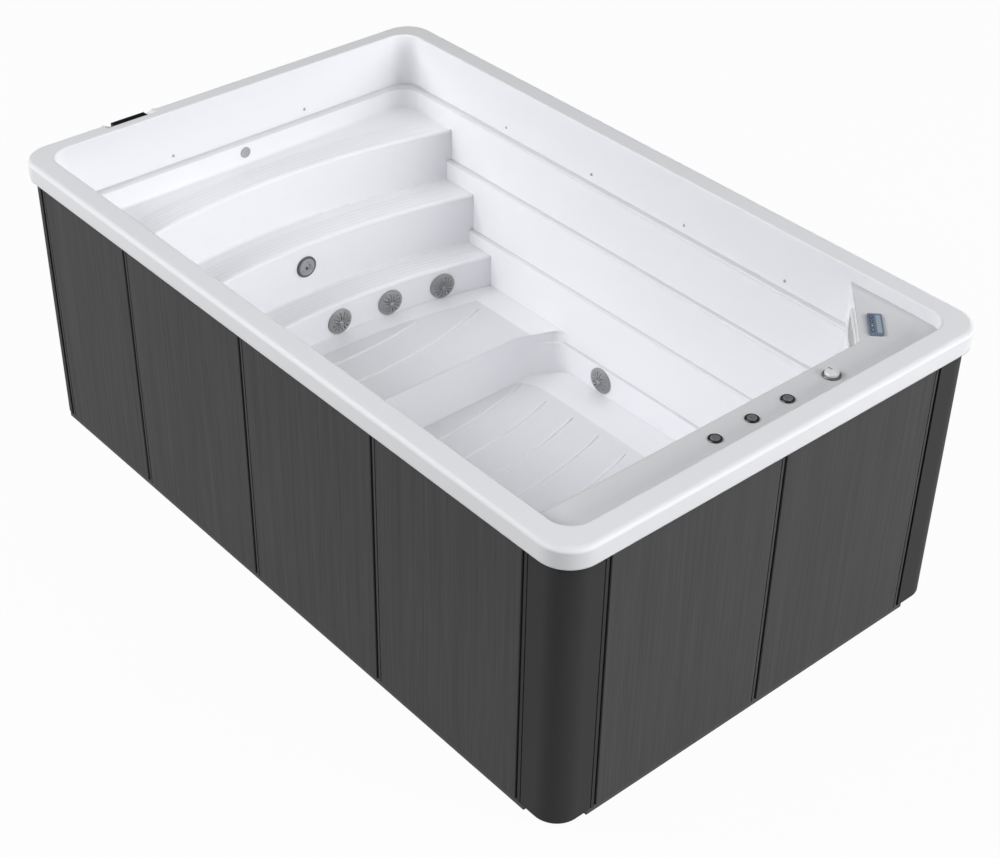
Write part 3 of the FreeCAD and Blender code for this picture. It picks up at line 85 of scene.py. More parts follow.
class Lay(Enum):
    """Which way the streaks of a brushed or grained surface run."""

    ALONG_X = 0
    ALONG_Y = 1
    ALONG_Z = 2

    def stretch(self, across: float, along: float) -> Triple:
        """Noise scales for streaks: coarse along them and fine across them.

        Args:
            across: spots for each metre across the streaks.
            along: spots for each metre along them.

        Returns:
            The scales along X, Y and Z.
        """
        scales = [across, across, across]
        scales[self.value] = along
        return tuple(scales)


class Graph:
    """A material's node tree, with short calls to add and join nodes."""

    def __init__(self, name: str) -> None:
        """Start a material that has one Principled shader.

        Args:
            name: the material's name.
        """
        self.material = bpy.data.materials.new(name)
        self.material.use_nodes = True
        self.nodes = self.material.node_tree.nodes
        self.links = self.material.node_tree.links
        self.shader = next(node for node in self.nodes if node.type == "BSDF_PRINCIPLED")

    def add(self, kind: str, values: Mapping[Any, Any] | None = None,
            **settings: Any) -> bpy.types.Node:
        """Add a node.

        Args:
            kind: the node's type without its "ShaderNode" start.
            values: constants for its input sockets.
            settings: its own properties.

        Returns:
            The new node.
        """
        node = self.nodes.new("ShaderNode" + kind)
        for key, value in settings.items():
            setattr(node, key, value)
        for key, value in (values or {}).items():
            node.inputs[key].default_value = value
        return node

    def join(self, source: Socket, target: Socket) -> None:
        """Link two sockets.

        Args:
            source: the output.
            target: the input.
        """
        self.links.new(source, target)

    def feed(self, source: Socket, name: str) -> None:
        """Link a socket to the shader.

        Args:
            source: the output.
            name: the shader's input.
        """
        self.join(source, self.shader.inputs[name])

    def set(self, **values: Any) -> None:
        """Set constants on the shader's own sockets.

        Args:
            values: constants by the socket's name, with underscores for spaces.
        """
        for key, value in values.items():
            self.shader.inputs[key.replace("_", " ")].default_value = value

    def noise(self, scale: Sequence[float], detail: float) -> Socket:
        """Noise on Object coordinates.

        Args:
            scale: spots for each metre along X, Y and Z.
            detail: number of finer layers.

        Returns:
            The noise value, from 0 to 1.
        """
        mapping = self.add("Mapping", {"Scale": tuple(scale)})
        noise = self.add("TexNoise", {"Scale": 1.0, "Detail": detail, "Roughness": NOISE_ROUGHNESS})
        self.join(self.add("TexCoord").outputs["Object"], mapping.inputs["Vector"])
        self.join(mapping.outputs["Vector"], noise.inputs["Vector"])
        return noise.outputs["Fac"]

    def math(self, operation: str, first: Any, second: Any = 0.0, third: Any = 0.0) -> Socket:
        """One step of arithmetic on sockets or numbers.

        Args:
            operation: the Math node's operation.
            first: the first socket or number.
            second: the second socket or number, where the operation has one.
            third: the third socket or number, where the operation has one.

        Returns:
            The result.
        """
        node = self.add("Math", operation=operation)
        for slot, value in zip(node.inputs, (first, second, third)):
            if isinstance(value, Socket):
                self.join(value, slot)
            else:
                slot.default_value = value
        return node.outputs[0]

    def blend(self, first: Socket, second: Socket, share: float) -> Socket:
        """Weighted sum of two values.

        Args:
            first: the value that counts 1 - share.
            second: the value that counts share.
            share: the weight.

        Returns:
            The sum.
        """
        return self.math("MULTIPLY_ADD", first, 1.0 - share, self.math("MULTIPLY", second, share))

    def spread(self, value: Socket, low: float, high: float) -> Socket:
        """Map a noise value's middle range to another range.

        Args:
            value: the noise value.
            low: the result at the range's low end.
            high: the result at its high end.

        Returns:
            The result.
        """
        ranged = self.add("MapRange", {"From Min": NOISE_LOW, "From Max": NOISE_HIGH,
                                       "To Min": low, "To Max": high})
        self.join(value, ranged.inputs["Value"])
        return ranged.outputs["Result"]

    def rise(self, value: Socket, low: float, high: float) -> Socket:
        """A smooth step.

        Args:
            value: the value to go by.
            low: where the step starts.
            high: where it ends.

        Returns:
            A value that goes from 0 at low to 1 at high.
        """
        ranged = self.add("MapRange", {"From Min": low, "From Max": high},
                          interpolation_type="SMOOTHSTEP")
        self.join(value, ranged.inputs["Value"])
        return ranged.outputs["Result"]

    def place(self) -> list[Socket]:
        """The place on the piece.

        Returns:
            X, Y and Z of the Object coordinates.
        """
        split = self.add("SeparateXYZ")
        self.join(self.add("TexCoord").outputs["Object"], split.inputs[0])
        return list(split.outputs)

    def colours(self, value: Socket, dark: Colour, light: Colour) -> None:
        """Colour the surface by a noise value's middle range.

        Args:
            value: the noise value.
            dark: the colour at the range's low end.
            light: the colour at its high end.
        """
        ramp = self.add("ValToRGB")
        ends = zip(ramp.color_ramp.elements, (NOISE_LOW, NOISE_HIGH), (dark, light))
        for element, position, colour in ends:
            element.position = position
            element.color = (*colour, 1.0)
        self.join(value, ramp.inputs["Fac"])
        self.feed(ramp.outputs["Color"], "Base Color")

    def bump(self, height: Socket, depth: float, strength: float, edge: float = 0.0) -> None:
        """Raise the surface by a value.

        Args:
            height: the value, from 0 to 1.
            depth: height of the relief in metres.
            strength: share of the relief that shows.
            edge: radius in metres over which sharp edges look rounded.
        """
        bump = self.add("Bump", {"Strength": strength, "Distance": depth})
        if edge:
            rounded = self.add("Bevel", {"Radius": edge}, samples=BEVEL_SAMPLES)
            self.join(rounded.outputs["Normal"], bump.inputs["Normal"])
        self.join(height, bump.inputs["Height"])
        self.feed(bump.outputs["Normal"], "Normal")


@dataclass(frozen=True)
class Finish:
    """A surface finish with a little variation of colour round its mean."""

    name: str
    colour: Colour
    roughness: float
    variation: float = 0.04

    def shade(self, factor: float) -> Colour:
        """The finish's colour, lighter or darker.

        Args:
            factor: what each part of the colour is multiplied by.

        Returns:
            The colour, with no part over 1.
        """
        return tuple(min(1.0, part * factor) for part in self.colour)

    def vary(self, graph: Graph, value: Socket) -> None:
        """Let the colour vary round its mean.

        Args:
            graph: the material's nodes.
            value: the noise value to go by.
        """
        graph.colours(value, self.shade(1.0 - self.variation), self.shade(1.0 + self.variation))

    def gloss(self, graph: Graph, value: Socket, low: float, high: float) -> None:
        """Let the roughness vary round its mean.

        Args:
            graph: the material's nodes.
            value: the noise value to go by.
            low: what is added to the roughness at the value's low end.
            high: what is added at its high end.
        """
        graph.feed(graph.spread(value, self.roughness + low, self.roughness + high), "Roughness")

    def paint(self, graph: Graph) -> None:
        """Wire up the material's nodes; each kind of finish has its own way.

        Args:
            graph: the material's nodes.
        """
        raise NotImplementedError

    def material(self) -> bpy.types.Material:
        """The finish's material.

        Returns:
            The material, which is made the first time it is asked for.
        """
        made = bpy.data.materials.get(self.name)
        if made is None:
            graph = Graph(self.name)
            self.paint(graph)
            made = graph.material
        return made


@dataclass(frozen=True)
class Pad:
    """A level pad: its height, its place along and across the pool, and its share of the tone."""

    level: float
    middle: float
    half_length: float
    half_width: float
    # On the floors the shade is a darker grain; on the console ledge it is painted shade.
    shade: float


@dataclass(frozen=True)
class Ledge:
    """A wall's ledge: its top, its bevel's height, and where it starts beside the steps."""

    top: float
    bevel: float
    side: float


@dataclass(frozen=True)
class MouldedAcrylic(Finish):
    """Vacuum-formed acrylic: faint waves, grain on pads, painted shade on rim and ledges, painted
    edge highlight.
    """

    rim_level: float = 1.460
    rim_reach: tuple[float, float] = (1.84, 1.12)
    # Painted shade greys the rim's top and lip; the rounded edge between them keeps a painted
    # highlight.
    rim_painted_shade: float = 0.84
    lip_painted_shade: float = 0.80
    painted_highlight_shade: float = 0.95
    painted_highlight_foot: tuple[float, float] = (1.436, 1.446)
    painted_highlight_top: tuple[float, float] = (1.450, 1.4595)
    ledges: Sequence[Ledge] = ()
    # Painted shade on the ledges' upward-facing tops and bevels.
    ledge_painted_shade: float = 0.82
    pads: Sequence[Pad] = ()
    pad_speckle: float = 0.03
    pad_roughness: float = 0.5
    level_band: float = 0.0012
    edge: float = 0.009
    slow_noise: Pattern = ((0.9, 0.9, 0.9), 2.0)
    grain_noise: Pattern = ((420.0, 420.0, 420.0), 2.0)
    wave_noise: Pattern = ((5.0, 5.0, 5.0), 1.0)
    gloss_swing: float = 0.01
    grain_relief: float = 0.35
    wave_relief: float = 0.6
    relief_depth: float = 0.001
    relief: float = 0.25
    coat: float = 0.04
    coat_roughness: float = 0.15
    specular: float = 0.35

    def pad_masks(self, graph: Graph) -> tuple[Socket, Socket]:
        """Where the level pads are, and how much darker each is: grain on the floors, painted shade
        on the console ledge.

        Args:
            graph: the material's nodes.

        Returns:
            A value of 1 on the pads and 0 elsewhere, and the share of light that is lost there.
        """
        x, y, z = graph.place()
        aside = graph.math("ABSOLUTE", y)
        mask = loss = graph.math("MULTIPLY", z, 0.0)
        for pad in self.pads:
            here = graph.math("COMPARE", z, pad.level, self.level_band)
            inside = graph.math("LESS_THAN", aside, pad.half_width)
            between = graph.math("COMPARE", x, pad.middle, pad.half_length)
            here = graph.math("MULTIPLY", here, graph.math("MULTIPLY", inside, between))
            mask = graph.math("MAXIMUM", mask, here)
            loss = graph.math("MULTIPLY_ADD", here, 1.0 - pad.shade, loss)
        return mask, loss

    def rim_painted_shade_and_highlight(self, graph: Graph) -> Socket:
        """Painted shade on the rim's top and lip, and a lighter painted highlight on the rounded
        edge between them.

        Args:
            graph: the material's nodes.

        Returns:
            The share of the colour that the painted shade takes away, less on the painted
            highlight, and 0 in the pool below the rim.
        """
        x, y, z = graph.place()
        outside = graph.math("MULTIPLY", z, 0.0)
        for part, reach in zip((x, y), self.rim_reach):
            past = graph.math("GREATER_THAN", graph.math("ABSOLUTE", part), reach)
            outside = graph.math("MAXIMUM", outside, past)
        to_painted_highlight = self.painted_highlight_shade - self.lip_painted_shade
        to_rim_painted_shade = self.rim_painted_shade - self.painted_highlight_shade
        # Painted shade on the lip rises to the painted highlight on the edge, then falls to the
        # rim's painted shade.
        shade = graph.math("MULTIPLY_ADD", graph.rise(z, *self.painted_highlight_foot), to_painted_highlight, self.lip_painted_shade)
        shade = graph.math("MULTIPLY_ADD", graph.rise(z, *self.painted_highlight_top), to_rim_painted_shade, shade)
        outer = graph.math("MULTIPLY", outside, graph.math("SUBTRACT", 1.0, shade))
        top = graph.math("COMPARE", z, self.rim_level, self.level_band)
        inner = graph.math("MULTIPLY", top, graph.math("SUBTRACT", 1.0, outside))
        return graph.math("MULTIPLY_ADD", inner, 1.0 - self.rim_painted_shade, outer)

    def ledge_painted_shade_mask(self, graph: Graph) -> Socket:
        """Where painted shade darkens the walls' ledges.

        A ledge reaches from the foot of its bevel to its top. In the half of the pool that has the
        steps it counts only past its own distance from the middle, so that the risers stay plain.

        Args:
            graph: the material's nodes.

        Returns:
            A value of 1 on the ledges and 0 elsewhere.
        """
        x, y, z = graph.place()
        mask = graph.math("MULTIPLY", z, 0.0)
        plain_half = graph.math("GREATER_THAN", x, 0.0)
        aside = graph.math("ABSOLUTE", y)
        for ledge in self.ledges:
            half = ledge.bevel / 2.0
            here = graph.math("COMPARE", z, ledge.top - half, half + self.level_band)
            beside = graph.math("GREATER_THAN", aside, ledge.side)
            wall = graph.math("MAXIMUM", plain_half, beside)
            mask = graph.math("MAXIMUM", mask, graph.math("MULTIPLY", here, wall))
        return mask

    def paint(self, graph: Graph) -> None:
        """Slow tone and waves; painted shade on rim, ledges and console pad, a painted edge
        highlight, dull grain on pads.

        Args:
            graph: the material's nodes.
        """
        slow = graph.noise(*self.slow_noise)
        grain = graph.noise(*self.grain_noise)
        wave = graph.noise(*self.wave_noise)
        mask, loss = self.pad_masks(graph)
        tone = graph.spread(slow, 1.0 - self.variation, 1.0 + self.variation)
        speckle = graph.spread(grain, self.pad_speckle, -self.pad_speckle)
        # Darker by the pads' grain and by painted shade on the console pad, rim and ledges, less on
        # the painted highlight.
        darker = graph.math("MULTIPLY_ADD", mask, speckle, loss)
        darker = graph.math("ADD", self.rim_painted_shade_and_highlight(graph), darker)
        darker = graph.math("MULTIPLY_ADD", self.ledge_painted_shade_mask(graph), 1.0 - self.ledge_painted_shade, darker)
        level = graph.math("MULTIPLY", tone, graph.math("SUBTRACT", 1.0, darker))
        tint = graph.add("VectorMath", {0: self.colour}, operation="SCALE")
        graph.join(level, tint.inputs["Scale"])
        graph.feed(tint.outputs[0], "Base Color")
        low, high = self.roughness - self.gloss_swing, self.roughness + self.gloss_swing
        duller = self.pad_roughness - self.roughness
        dull = graph.math("MULTIPLY_ADD", mask, duller, graph.spread(slow, low, high))
        graph.feed(dull, "Roughness")
        grains = graph.math("MULTIPLY", grain, mask)
        waves = graph.math("MULTIPLY", wave, self.wave_relief)
        height = graph.math("MULTIPLY_ADD", grains, self.grain_relief, waves)
        graph.bump(height, self.relief_depth, self.relief, self.edge)
        graph.set(Coat_Weight=self.coat, Coat_Roughness=self.coat_roughness, IOR=PLASTIC_IOR,
                  Specular_IOR_Level=self.specular)


@dataclass(frozen=True)
class GrainedPanel(Finish):
    """Embossed polymer board with fine grain lines that run up it."""

    lay: Lay = Lay.ALONG_Z
    specular: float = 0.5
    fine_scales: tuple[float, float] = (210.0, 2.2)
    fine_detail: float = 5.0
    broad_scales: tuple[float, float] = (38.0, 0.5)
    broad_detail: float = 3.0
    broad_share: float = 0.3
    gloss_swing: tuple[float, float] = (0.08, -0.06)
    relief_depth: float = 0.0008
    relief: float = 0.5

    def paint(self, graph: Graph) -> None:
        """Fine and broad streaks give colour, gloss and relief.

        Args:
            graph: the material's nodes.
        """
        fine = graph.noise(self.lay.stretch(*self.fine_scales), self.fine_detail)
        broad = graph.noise(self.lay.stretch(*self.broad_scales), self.broad_detail)
        streaks = graph.blend(fine, broad, self.broad_share)
        self.vary(graph, streaks)
        self.gloss(graph, streaks, *self.gloss_swing)
        graph.bump(fine, self.relief_depth, self.relief)
        graph.set(Specular_IOR_Level=self.specular)


@dataclass(frozen=True)
class MouldedPlastic(Finish):
    """Injection-moulded or extruded plastic with a fine even texture."""

    texture: float = 600.0
    relief: float = 0.15
    coat: float = 0.0
    specular: float = 0.5
    slow_noise: Pattern = ((9.0, 9.0, 2.5), 3.0)
    texture_detail: float = 2.0
    slow_share: float = 0.5
    gloss_swing: tuple[float, float] = (-0.05, 0.06)
    relief_depth: float = 0.0004
    coat_roughness: float = 0.1

    def paint(self, graph: Graph) -> None:
        """Slow tone, with a fine texture in the relief and the gloss.

        Args:
            graph: the material's nodes.
        """
        slow = graph.noise(*self.slow_noise)
        fine = graph.noise((self.texture,) * 3, self.texture_detail)
        self.vary(graph, slow)
        self.gloss(graph, graph.blend(fine, slow, self.slow_share), *self.gloss_swing)
        graph.bump(fine, self.relief_depth, self.relief)
        graph.set(Coat_Weight=self.coat, Coat_Roughness=self.coat_roughness,
                  Specular_IOR_Level=self.specular)


@dataclass(frozen=True)
class Metal(Finish):
    """Bare metal, brushed along one axis or polished."""

    lay: Lay = Lay.ALONG_X
    brushing: float = 0.12
    streak_scales: tuple[float, float] = (900.0, 20.0)
    streak_detail: float = 3.0
    gloss_factors: tuple[float, float] = (0.8, 1.25)
    relief_depth: float = 0.0003

    def paint(self, graph: Graph) -> None:
        """Streaks along the brushing in the colour, the gloss and the relief.

        Args:
            graph: the material's nodes.
        """
        streaks = graph.noise(self.lay.stretch(*self.streak_scales), self.streak_detail)
        self.vary(graph, streaks)
        low, high = (self.roughness * factor for factor in self.gloss_factors)
        graph.feed(graph.spread(streaks, low, high), "Roughness")
        graph.bump(streaks, self.relief_depth, self.brushing)
        graph.set(Metallic=1.0)


@dataclass(frozen=True)
class MilkyLens(Finish):
    """Milky moulded lens with faint flow lines."""

    ripple_noise: Pattern = ((300.0, 300.0, 300.0), 2.0)
    relief_depth: float = 0.0003
    relief: float = 0.2
    transmission: float = 0.05

    def paint(self, graph: Graph) -> None:
        """Hardly see-through, with a slight ripple.

        Args:
            graph: the material's nodes.
        """
        ripple = graph.noise(*self.ripple_noise)
        self.vary(graph, ripple)
        graph.bump(ripple, self.relief_depth, self.relief)
        graph.set(Transmission_Weight=self.transmission, Roughness=self.roughness, IOR=PLASTIC_IOR)


@dataclass(frozen=True)
class PleatedMedia(Finish):
    """Filter paper or felt: rough, with short fibres."""

    fibre_noise: Pattern = ((500.0, 500.0, 160.0), 4.0)
    relief_depth: float = 0.0006
    relief: float = 0.5
    sheen: float = 0.2

    def paint(self, graph: Graph) -> None:
        """Fibres as stretched noise in the colour and the relief.

        Args:
            graph: the material's nodes.
        """
        fibres = graph.noise(*self.fibre_noise)
        self.vary(graph, fibres)
        graph.bump(fibres, self.relief_depth, self.relief)
        graph.set(Roughness=self.roughness, Sheen_Weight=self.sheen)


ACRYLIC = MouldedAcrylic(
    "acrylic_white", (0.925, 0.932, 0.96), 0.32, 0.006,
    # Each ledge gets painted shade on its top and bevel.
    ledges=(Ledge(1.180, 0.009, -1.0), Ledge(0.890, 0.008, 1.009), Ledge(0.570, 0.007, 0.988),
            Ledge(0.250, 0.004, 0.976)),
    # The pad at 1.395 on the console ledge is darkened by painted shade from the rim beside it.
    pads=(Pad(0.080, 0.6, 1.2, 0.80, 0.90), Pad(0.295, -0.85, 0.40, 0.86, 0.86),
          Pad(1.395, 1.394, 0.394, 1.0705, 0.715)))
TREAD_LINE = MouldedAcrylic("acrylic_tread_lines", (0.89, 0.897, 0.925), 0.4, 0.01, edge=0.0)
# A shade lighter than the shell: painted highlight on the nosings and floor ribs.
RIB_PAINTED_HIGHLIGHT = MouldedAcrylic("acrylic_ribs_painted_highlight", (0.945, 0.95, 0.97), 0.4, 0.006, edge=0.0)
PANEL = GrainedPanel("panel_grained_grey", (0.052, 0.052, 0.0525), 0.6, 0.16, specular=0.2)
POST = MouldedPlastic("post_smooth_grey", (0.038, 0.038, 0.0385), 0.6, 0.05,
                      texture=900.0, relief=0.1, specular=0.1)
BASE = MouldedPlastic("base_black", (0.012, 0.012, 0.013), 0.6, 0.2, texture=300.0, relief=0.3)
COATED_STEEL = MouldedPlastic("frame_coated_black", (0.014, 0.014, 0.015), 0.6, 0.08,
                              texture=1500.0, relief=0.2)
INSERT = MouldedPlastic("insert_black", (0.006, 0.006, 0.007), 0.5, 0.2, texture=800.0)
FITTING = MouldedPlastic("fitting_white", (0.72, 0.72, 0.72), 0.3, 0.03, relief=0.06, coat=0.2)
COVER = MouldedPlastic("suction_cover_grey", (0.31, 0.315, 0.32), 0.45, 0.1, relief=0.2)
JET_RING = MouldedPlastic("jet_ring_dark", (0.085, 0.086, 0.09), 0.32, 0.1,
                          relief=0.08, coat=0.2)
JET_FACE = MouldedPlastic("jet_face_grey", (0.33, 0.335, 0.345), 0.36, 0.08,
                          relief=0.1, coat=0.1)
CONTROL_RING = MouldedPlastic("control_ring_black", (0.018, 0.018, 0.02), 0.3, 0.15,
                              relief=0.08, coat=0.2)
DIVERTER_RING = MouldedPlastic("diverter_ring_grey", (0.12, 0.122, 0.126), 0.3, 0.1,
                               relief=0.06, coat=0.3)
DIVERTER_KNOB = MouldedPlastic("diverter_knob_pale", (0.74, 0.74, 0.75), 0.25, 0.03,
                               relief=0.06, coat=0.2)
SMALL_FITTING = MouldedPlastic("small_fitting_grey", (0.4, 0.405, 0.42), 0.36, 0.06, relief=0.08)
CONTROL_CAP = MouldedPlastic("control_cap_grey", (0.16, 0.165, 0.175), 0.35, 0.08, relief=0.1)
PANEL_CASE = MouldedPlastic("panel_case_blue_grey", (0.15, 0.20, 0.27), 0.35, 0.05,
                            relief=0.05, coat=0.1)
SCREEN = MouldedPlastic("panel_window", (0.34, 0.41, 0.49), 0.2, 0.05, relief=0.02, coat=0.3)
KEY = MouldedPlastic("key_soft_dark", (0.07, 0.09, 0.125), 0.6, 0.1, relief=0.3)
KEY_MARK = MouldedPlastic("key_mark_pale", (0.55, 0.6, 0.66), 0.5, 0.05)
SKIMMER = MouldedPlastic("skimmer_white", (0.76, 0.76, 0.77), 0.3, 0.02, relief=0.05, coat=0.2)
WEIR = MouldedPlastic("weir_grey", (0.42, 0.425, 0.44), 0.4, 0.05, relief=0.1)
PUMP = MouldedPlastic("pump_black", (0.025, 0.026, 0.028), 0.45, 0.15, texture=700.0, relief=0.3)
PIPE = MouldedPlastic("pipe_white", (0.7, 0.7, 0.69), 0.35, 0.03, relief=0.05)
EQUIPMENT = MouldedPlastic("equipment_grey", (0.22, 0.225, 0.23), 0.5, 0.06,
                           texture=500.0, relief=0.3)
CHROME = Metal("trim_chrome", (0.82, 0.83, 0.85), 0.1, 0.02, brushing=0.02)
STEEL = Metal("screw_steel", (0.14, 0.14, 0.145), 0.4, 0.06)
ROTOR = Metal("rotor_steel", (0.5, 0.5, 0.51), 0.35, 0.08, lay=Lay.ALONG_Y)
LENS = MilkyLens("light_lens", (0.7, 0.71, 0.74), 0.3)
MEDIA = PleatedMedia("filter_media", (0.7, 0.72, 0.76), 0.9, 0.08)


def grid_surface(name: str, points: np.ndarray, closed_columns: bool = False) -> bpy.types.Object:
    """Mesh over one or more grids of points, with one quad for each cell.

    Cell (i, j) joins the points (i, j), (i + 1, j), (i + 1, j + 1) and (i, j + 1), with j counted
    round where the columns are closed. Points that fall together, as at a pole, are merged and the
    faces turned outwards.

    Args:
        name: the piece's name.
        points: an array of shape (grids, rows, columns, 3), in metres.
        closed_columns: whether the last column joins the first.

    Returns:
        The new object, at the origin.
    """
    grids, rows, columns = points.shape[:3]
    index = np.arange(grids * rows * columns).reshape(grids, rows, columns)
    below = np.roll(index, -1, axis=1)
    corners = [index, below, np.roll(below, -1, axis=2), np.roll(index, -1, axis=2)]
    cells = np.stack(corners, axis=-1)[:, :-1]
    quads = (cells if closed_columns else cells[:, :, :-1]).reshape(-1, 4)
    mesh = bpy.data.meshes.new(name)
    mesh.vertices.add(index.size)
    mesh.vertices.foreach_set("co", points.astype(np.float32).ravel())
    mesh.loops.add(quads.size)
    mesh.loops.foreach_set("vertex_index", quads.astype(np.int32).ravel())
    mesh.polygons.add(len(quads))
    mesh.polygons.foreach_set("loop_start", np.arange(0, quads.size, 4, dtype=np.int32))
    mesh.update(calc_edges=True)
    mesh.validate()
    work = bmesh.new()
    work.from_mesh(mesh)
    bmesh.ops.remove_doubles(work, verts=work.verts, dist=MERGE_DISTANCE)
    bmesh.ops.recalc_face_normals(work, faces=work.faces)
    work.to_mesh(mesh)
    work.free()
    mesh.shade_smooth()
    piece = bpy.data.objects.new(name, mesh)
    bpy.context.scene.collection.objects.link(piece)
    return piece


def cushion(first: np.ndarray, second: np.ndarray, height: float) -> np.ndarray:
    """A thin cushion over an outline round the origin.

    An angle goes half a turn from the top to the underside. The outline's size is the root of its
    sine, and the height is its cosine times the crown's height.

    Args:
        first: the outline's first coordinates.
        second: its second coordinates.
        height: height of the crown over the middle.

    Returns:
        Points of shape (from top to underside, around, 3).
    """
    fall = np.linspace(0.0, math.pi, CUSHION_STEPS)[:, None]
    size = np.sqrt(np.sin(fall))
    rise = height * np.cos(fall) * np.ones_like(first)
    return np.stack([size * first, size * second, rise], axis=-1)


@dataclass
class SubAssembly:
    """CAD nodes that are dressed together, with the finish for each start of a node's name."""

    finishes: Mapping[str, Finish]

    def dress(self) -> None:
        """Give each node whose name starts as listed its finish; a later start wins."""
        for start, finish in self.finishes.items():
            for name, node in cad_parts.items():
                if name.startswith(start):
                    node.data.materials.clear()
                    node.data.materials.append(finish.material())
                    LOG.info("dressed %s with %s", name, finish.name)

    def build(self) -> None:
        """Make the pieces that the CAD model has no solids for; most sub-assemblies have none."""

    def keep(self, piece: bpy.types.Object, finish: Finish, body: Body, slot: str) -> None:
        """Finish a new piece and let it ride.

        Args:
            piece: the new object.
            finish: its finish.
            body: the body that carries it.
            slot: the record's material slot that it belongs to; not used.
        """
        piece.data.materials.append(finish.material())
        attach(piece, body.value)
        LOG.info("made %s", piece.name)


@dataclass(frozen=True)
class ArcSet:
    """Raised lines along arcs that share a level, each with a radius, a centre and a half span."""

    level: float
    radii: np.ndarray
    centres: np.ndarray
    half_spans: np.ndarray
    bow: float

    def points(self, profile: np.ndarray, sharpness: float) -> np.ndarray:
        """A closed profile carried along each arc.

        At the angle t from the middle of its arc a line stands at the centre plus the bow (1 or -1)
        times the radius times cos t along X, and at the radius times sin t along Y. A point of the
        profile adds its first value to the radius and its second to the height. The profile shrinks
        to a point at both ends, all the later the sharper it is: its size is the root of
        1 - |share of the half span| to that power.

        Args:
            profile: points round the profile, of shape (around, 2).
            sharpness: the power in the size.

        Returns:
            Points of shape (lines, along, around, 3).
        """
        counts = (np.arange(len(self.radii)), np.linspace(-1.0, 1.0, ARC_STEPS),
                  np.arange(len(profile)))
        lines, share, turn = np.meshgrid(*counts, indexing="ij")
        size = np.sqrt(np.clip(1.0 - np.abs(share) ** sharpness, 0.0, 1.0))
        radius = self.radii[lines] + profile[turn, 0] * size
        angle = np.arcsin(self.half_spans[lines] / self.radii[lines]) * share
        x = self.centres[lines] + self.bow * radius * np.cos(angle)
        z = self.level + profile[turn, 1] * size
        return np.stack([x, radius * np.sin(angle), z], axis=-1)


